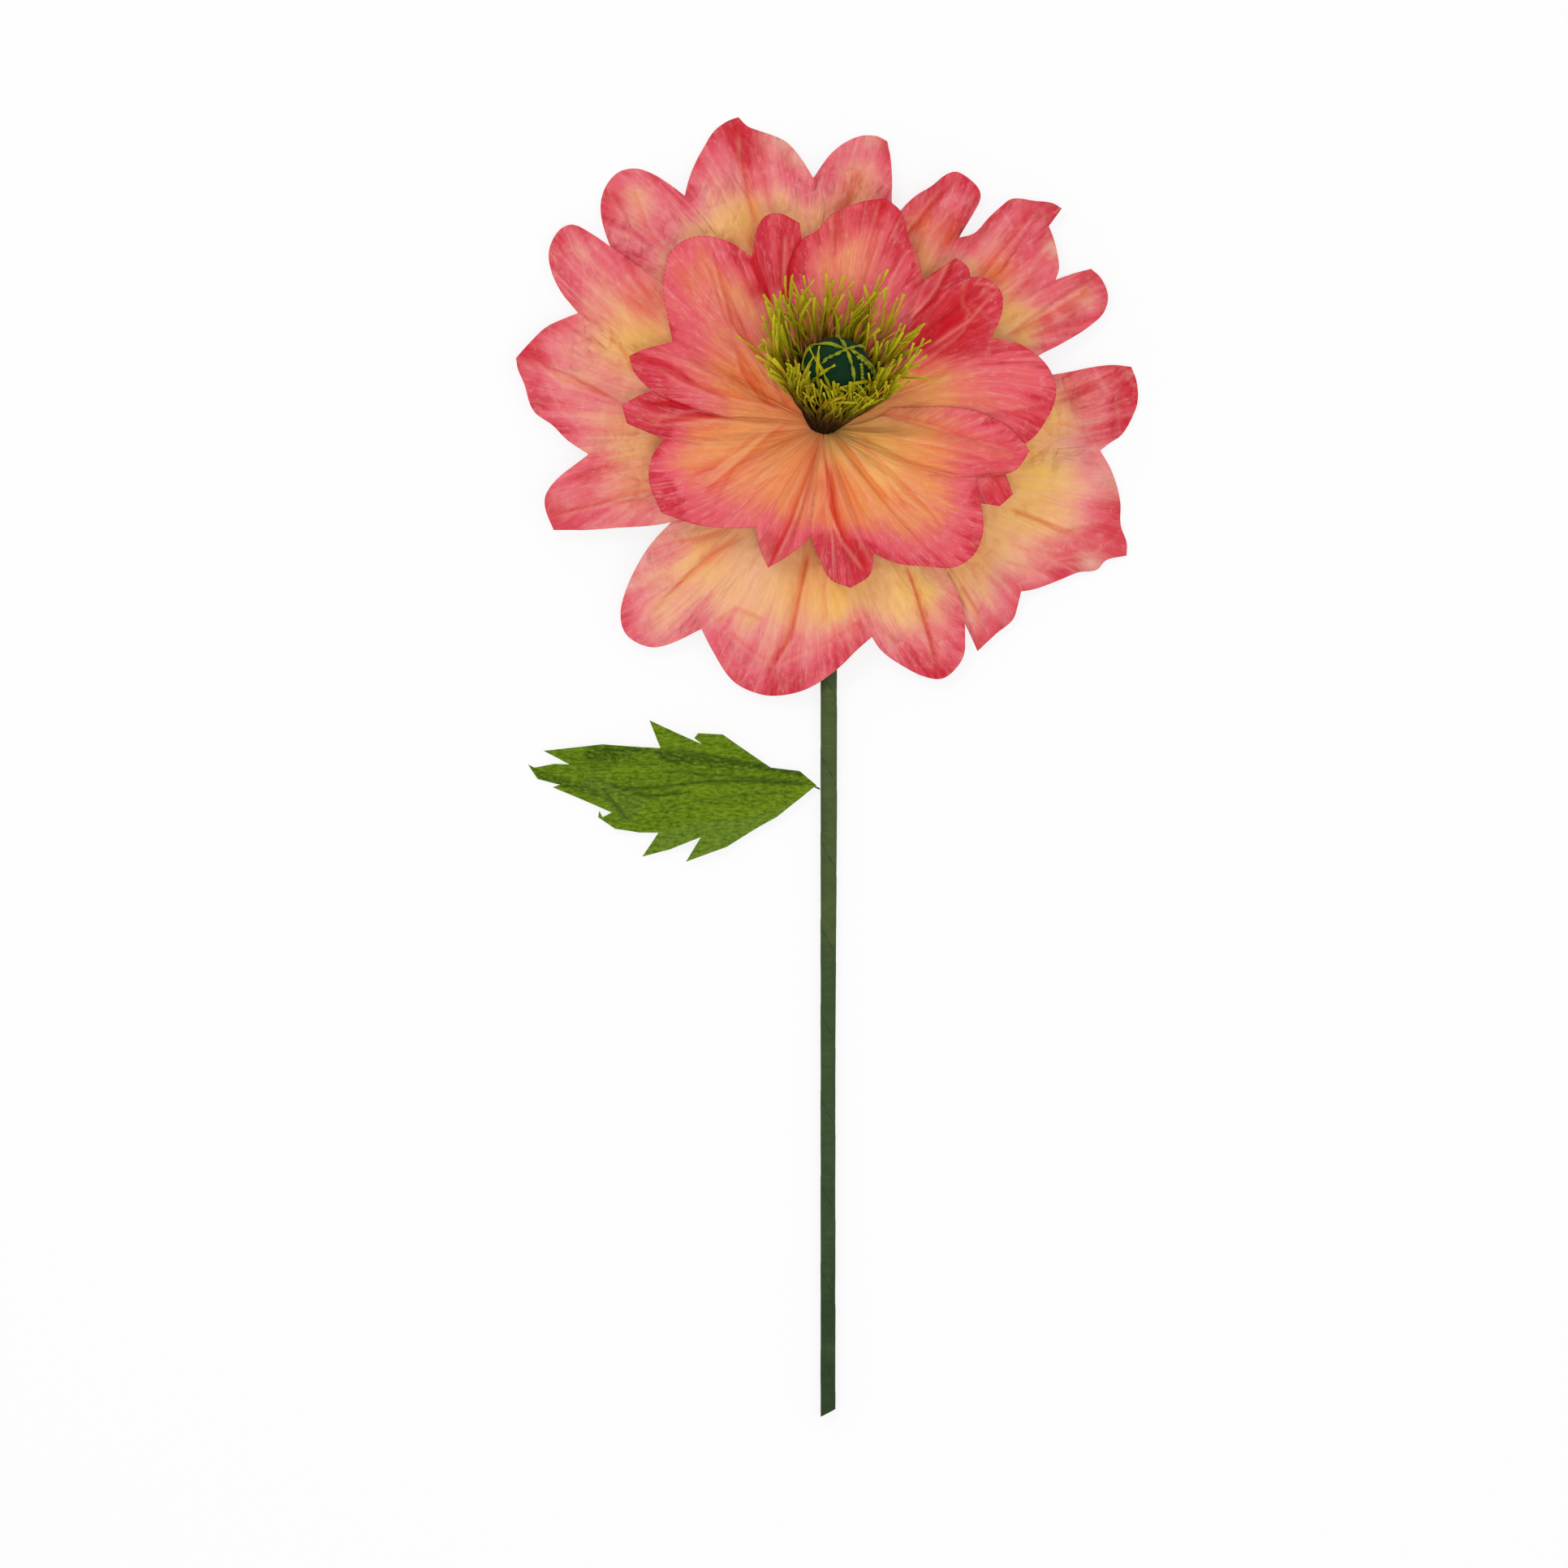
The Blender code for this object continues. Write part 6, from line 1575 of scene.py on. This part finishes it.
# Leaf outline with its cut teeth, as shares of its length from the wire round its upper edge
LEAF_OUTLINE = (
    (0, 0), (0.0586, 0.0495), (0.1577, 0.0608), (0.3243, 0.1757), (0.4099, 0.1802), (0.4234, 0.1631),
    (0.3964, 0.1419), (0.5788, 0.2252), (0.5405, 0.1284), (0.7432, 0.1419), (0.9459, 0.1194),
    (0.8559, 0.0721), (0.9077, 0.0743), (0.9775, 0.0608), (1, 0.0721), (0.9662, 0.0212),
    (0.8896, 0.0014), (0.9144, -0.0072), (0.7095, -0.0946), (0.741, -0.1108), (0.7523, -0.0883),
    (0.7568, -0.1108), (0.6982, -0.1509), (0.6126, -0.1644), (0.5473, -0.1644), (0.6036, -0.2477),
    (0.509, -0.223), (0.4009, -0.1802), (0.4527, -0.2658), (0.3108, -0.214), (0.2027, -0.1464),
    (0.1374, -0.1104), (0.0495, -0.0405))
# Creases of the leaf: (pixels along it, height in 0.6 mm, half width in mm)
LEAF_CREASES = (
    (((1006, 967), (920, 962), (867, 963), (822, 969), (767, 973), (720, 954)), -1.6, 4),
    (((777, 976), (799, 981), (830, 978), (849, 976)), -1.0, 3),
    (((1000, 965), (940, 959), (895, 956), (848, 952), (800, 947)), -0.7, 3),
    (((1000, 968), (930, 975), (850, 990), (780, 1000)), 0.9, 5),
    (((990, 975), (920, 979), (880, 984), (842, 988)), -0.5, 3),
    (((990, 978), (960, 1000), (920, 1008), (848, 1015), (812, 1024)), 1.0, 5),
    (((1004, 958), (950, 945), (900, 936), (850, 926), (812, 922)), -0.9, 5),
    (((817, 940), (791, 942), (720, 937), (680, 930)), -0.5, 4),
    (((800, 971), (730, 960), (665, 948)), 0.9, 3),
    (((739, 969), (757, 990), (775, 1012)), -0.8, 3),
    (((832, 989), (818, 1006), (803, 1022)), -0.5, 3))
# Facets of the leaf, darker by painted shade where it folds over: (outline in pixels, darker, greyer,
# softness in pixels)
LEAF_FACETS = (
    (((803, 925), (814, 923), (842, 927), (920, 940), (990, 952), (975, 956), (920, 946), (860, 941),
      (835, 943), (821, 940), (809, 931)), 0.85, 0.0, 4),
    (((726, 921), (809, 921), (791, 928), (771, 932), (746, 937), (727, 938), (718, 930)), 0.75, 0.0, 3),
    (((720, 955), (739, 960), (763, 971), (791, 982), (794, 992), (781, 1006), (775, 1015), (762, 1007),
      (739, 984), (715, 970)), 0.25, 0.7, 4),
    (((650, 946), (700, 960), (735, 972), (742, 984), (715, 978), (668, 962)), 0.7, 0.2, 4),
    (((812, 1024), (848, 1015), (920, 1008), (985, 985), (985, 1010), (930, 1035), (845, 1070), (785, 1060)),
     0.0, 0.8, 4))
# The leaf's grid of cuts, crosswise and lengthwise: (axis, from, to, cell), and its thickness
LEAF_CUTS = ((0, -0.232, -0.008, 0.0017), (1, -0.075, 0.040, 0.0014))
LEAF_THICKNESS = 0.0003
OUTLINE_STEP, OUTLINE_BOW = 0.004, 0.018


def leaf_fields(x, y):
    """Height of the leaf at places of the frame, and how much painted shade its creases get there."""
    u, v = LEAF_BASE[0] - x, y - LEAF_BASE[1]
    aside = v - LEAF_RIB
    z = mix(LEAF_BASE[2], LEAF_TIP_Z, np.clip(u / LEAF_LENGTH, 0.0, 1.0))
    z = z + np.where(aside > 0.0, 0.10 * aside, -0.025 * aside)
    z = z + 0.0012 * np.sin(2 * math.pi * u / 0.069) * smooth(0.010, 0.030, np.abs(aside))
    crease_shade_and_seam = np.zeros(x.shape)
    for points, height, width in LEAF_CREASES:
        away, along = line_distance(x, y, spots(points))
        taper = smooth(0.0, 0.1, along) * smooth(0.0, 0.2, 1.0 - along)
        z = z + height * 0.0006 * np.exp(-np.abs(away) / (width * MILLIMETRE)) * taper
        if height < 0:
            crease_shade_and_seam = np.maximum(crease_shade_and_seam, falloff(away, 0.0011) * taper * min(-height, 1.0))
    near, second = cells(u * 0.35, v, 0.007, 21)
    z = z + (second - near) * 0.0005 + 0.0009 * (noise(u * 0.3, v, 0.006, 23) - 0.5)
    return np.maximum(z, 0.0016), crease_shade_and_seam


def leaf_outline():
    """The outline as shares of the leaf's length, each side bowed a little outwards."""
    outline = []
    for (au, av), (bu, bv) in zip(LEAF_OUTLINE, LEAF_OUTLINE[1:] + LEAF_OUTLINE[:1]):
        side = math.dist((au, av), (bu, bv))
        steps = max(2, round(side * LEAF_LENGTH / OUTLINE_STEP))
        for k in range(steps):
            t = k / steps
            bow = OUTLINE_BOW * math.sin(math.pi * t) * side
            outline.append((mix(au, bu, t) + bow * (bv - av), mix(av, bv, t) - bow * (bu - au)))
    return outline


def leaf_mesh():
    """Verts and faces of the leaf: its outline cut into fine cells, bent, and thick."""
    bm = bmesh.new()
    bm.faces.new([bm.verts.new((LEAF_BASE[0] - u * LEAF_LENGTH, LEAF_BASE[1] + v * LEAF_LENGTH, 0.0))
                  for u, v in leaf_outline()])
    for axis, start, stop, cell in LEAF_CUTS:
        for place in np.arange(start, stop, cell):
            cut_at, normal = [0.0, 0.0, 0.0], [0.0, 0.0, 0.0]
            cut_at[axis], normal[axis] = float(place), 1.0
            bmesh.ops.bisect_plane(bm, geom=bm.verts[:] + bm.edges[:] + bm.faces[:], plane_co=cut_at,
                                   plane_no=normal, dist=1e-6)
    bmesh.ops.triangulate(bm, faces=bm.faces[:])
    border = [edge for edge in bm.edges if len(edge.link_faces) == 1]
    top = bm.verts[:]
    x, y = (np.array([v.co[k] for v in top]) for k in (0, 1))
    for vert, height in zip(top, leaf_fields(x, y)[0]):
        vert.co.z = height
    bmesh.ops.recalc_face_normals(bm, faces=bm.faces[:])
    if sum(face.normal.z for face in bm.faces) < 0:
        bmesh.ops.reverse_faces(bm, faces=bm.faces[:])
    copied = bmesh.ops.duplicate(bm, geom=bm.faces[:])
    twin = copied["vert_map"]
    for edge in border:
        first, second = edge.verts
        bm.faces.new((first, second, twin[second], twin[first]))
    under = [part for part in copied["geom"] if isinstance(part, bmesh.types.BMFace)]
    bmesh.ops.reverse_faces(bm, faces=under)
    for part in copied["geom"]:
        if isinstance(part, bmesh.types.BMVert):
            part.co.z -= LEAF_THICKNESS
    bm.verts.index_update()
    verts = np.array([v.co[:] for v in bm.verts])
    faces = [[v.index for v in face.verts] for face in bm.faces]
    bm.free()
    return verts, faces


def leaf():
    """The cut leaf."""
    verts, faces = leaf_mesh()
    x, y = verts[:, 0], verts[:, 1]
    u, v = LEAF_BASE[0] - x, y - LEAF_BASE[1]
    shade, grey = np.zeros(x.shape), np.zeros(x.shape)
    for points, darker, greyer, soft in LEAF_FACETS:
        share = outline_share(x, y, spots(points), soft * PIXEL)
        shade, grey = np.maximum(shade, darker * share), np.maximum(grey, greyer * share)
    fields = dict(fibre=np.stack([u, v, 0 * u], -1), crease_shade_and_seam=leaf_fields(x, y)[1], shade=shade, grey=grey,
                  warm=0.6 * smooth(0.10, 0.0, u) * smooth(0.004, -0.03, v))
    settle(mesh_object("leaf_paper_sheet", verts, faces, "leaf", fields), "leaf")


LEAF_WIRE_RADIUS, LEAF_WIRE_SIDES, LEAF_WIRE_RINGS = 0.0007, 12, 70
LEAF_WIRE_END = 0.090


def leaf_wire():
    """The thin dark wire from the stem along the underside of the leaf's rib."""
    path = [np.array((STEM_X - WRAP_RADIUS - 0.0003, LEAF_BASE[1] - 0.003, WRAP_RADIUS))]
    for u in np.linspace(0.004, LEAF_WIRE_END, 24):
        v = LEAF_RIB * float(smooth(0.0, LEAF_WIRE_END, np.array(u)))
        x, y = LEAF_BASE[0] - u, LEAF_BASE[1] + v
        z, _ = leaf_fields(np.array([x]), np.array([y]))
        path.append(np.array((x, y, float(z[0]) - 2 * LEAF_WIRE_RADIUS)))
    path = smooth_path(path, LEAF_WIRE_RINGS)
    path[:, 2] = np.maximum(path[:, 2], 0.0009)
    outer = tube_along_x(path, LEAF_WIRE_RADIUS, LEAF_WIRE_SIDES)
    faces, index = ring_faces(len(path), LEAF_WIRE_SIDES)
    faces = [tuple(f) for f in faces] + [tuple(index[0][::-1]), tuple(index[-1])]
    settle(mesh_object("leaf_wire_round", outer.reshape(-1, 3), faces, "wire"), "leaf_wire")


# The CAD's nodes that keep their shape, and the look of each
DRESSED = {"stem_rod": "wood", "neck_wire": "wire", "seed_ball": "foam"}


def dress_nodes():
    """CAD nodes that keep their shape get the look of their material."""
    for name, kind in DRESSED.items():
        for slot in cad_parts[name].material_slots:
            slot.material = MATERIALS[kind]


FLOOR_SIZE, FLOOR_GLOW = 40.0, 0.82
WORLD_LIGHT = 0.66
# Lamps: (name, place, power in watts, width)
LAMPS = (("key", (-1.2, 1.5, 2.5), 15.0, 1.0), ("fill", (1.8, -0.6, 2.6), 8.0, 2.2),
         ("front", (0.1, -0.3, 3.4), 21.0, 0.9))
LAMPS_AIM = (0.0, 0.15, 0.0)
# The camera's distance from the level that the photograph's scale holds for, and its sensor in mm
CAMERA_DISTANCE, CAMERA_LEVEL, SENSOR_WIDTH = 16.0, 0.030, 36.0


def floor_look():
    """White for the camera and for mirrored rays, by a glow that leaves a faint shadow."""
    g = Graph("floor_look")
    ray = g.tree.nodes.new("ShaderNodeLightPath").outputs
    glow = g.tree.nodes.new("ShaderNodeEmission")
    glow.inputs["Color"].default_value = (1.0, 1.0, 1.0, 1.0)
    glow.inputs["Strength"].default_value = 1.0
    seen = g.maths("MAXIMUM", ray["Is Camera Ray"], ray["Is Glossy Ray"])
    seen = g.maths("MAXIMUM", seen, ray["Is Transmission Ray"])
    mixed = g.tree.nodes.new("ShaderNodeMixShader")
    g.put(mixed.inputs["Fac"], g.maths("MULTIPLY", seen, FLOOR_GLOW))
    g.put(mixed.inputs[1], g.shader.outputs["BSDF"])
    g.put(mixed.inputs[2], glow.outputs["Emission"])
    g.put(g.tree.nodes["Material Output"].inputs["Surface"], mixed.outputs["Shader"])
    return g.finish((0.95, 0.95, 0.95), 0.9, Specular_IOR_Level=0.0)


def floor():
    """The white floor."""
    mesh = bpy.data.meshes.new("floor")
    size = FLOOR_SIZE
    mesh.from_pydata([(-size, -size, 0), (size, -size, 0), (size, size, 0), (-size, size, 0)], [],
                     [(0, 1, 2, 3)])
    mesh.materials.append(floor_look())
    in_scene("floor", mesh)


def white_world():
    """A soft white light from all round, which the camera sees as full white."""
    world = bpy.data.worlds.new("studio")
    bpy.context.scene.world = world
    world.use_nodes = True
    nodes, links = world.node_tree.nodes, world.node_tree.links
    back = nodes["Background"]
    back.inputs["Color"].default_value = (1.0, 1.0, 1.0, 1.0)
    level = nodes.new("ShaderNodeMapRange")
    level.inputs["To Min"].default_value = WORLD_LIGHT
    level.inputs["To Max"].default_value = 1.0
    links.new(nodes.new("ShaderNodeLightPath").outputs["Is Camera Ray"], level.inputs["Value"])
    links.new(level.outputs["Result"], back.inputs["Strength"])


def lamps():
    """Three soft round lamps over the flower."""
    for name, place, power, width in LAMPS:
        lamp = bpy.data.lights.new(name, "AREA")
        lamp.energy = power
        lamp.size = width
        lamp.shape = "DISK"
        lamp_object = in_scene(name, lamp)
        lamp_object.location = place
        aim = Vector(LAMPS_AIM) - Vector(place)
        lamp_object.rotation_mode = "QUATERNION"
        lamp_object.rotation_quaternion = aim.to_track_quat("-Z", "Y")


def camera():
    """The camera straight above, with the photograph's frame."""
    view = bpy.data.cameras.new("camera")
    view_object = in_scene("camera", view)
    x, y = spot(FRAME_PIXELS / 2, FRAME_PIXELS / 2)
    view_object.location = (x, y, CAMERA_LEVEL + CAMERA_DISTANCE)
    view.sensor_width = SENSOR_WIDTH
    view.lens = SENSOR_WIDTH * CAMERA_DISTANCE / (FRAME_PIXELS * PIXEL)
    view.clip_start, view.clip_end = 0.1, 100.0
    bpy.context.scene.camera = view_object


petals()
stamens()
ball()
rays()
stem_wrap()
neck_tape()
leaf()
leaf_wire()
dress_nodes()
floor()
white_world()
lamps()
camera()
bpy.context.scene.view_settings.view_transform = "Standard"
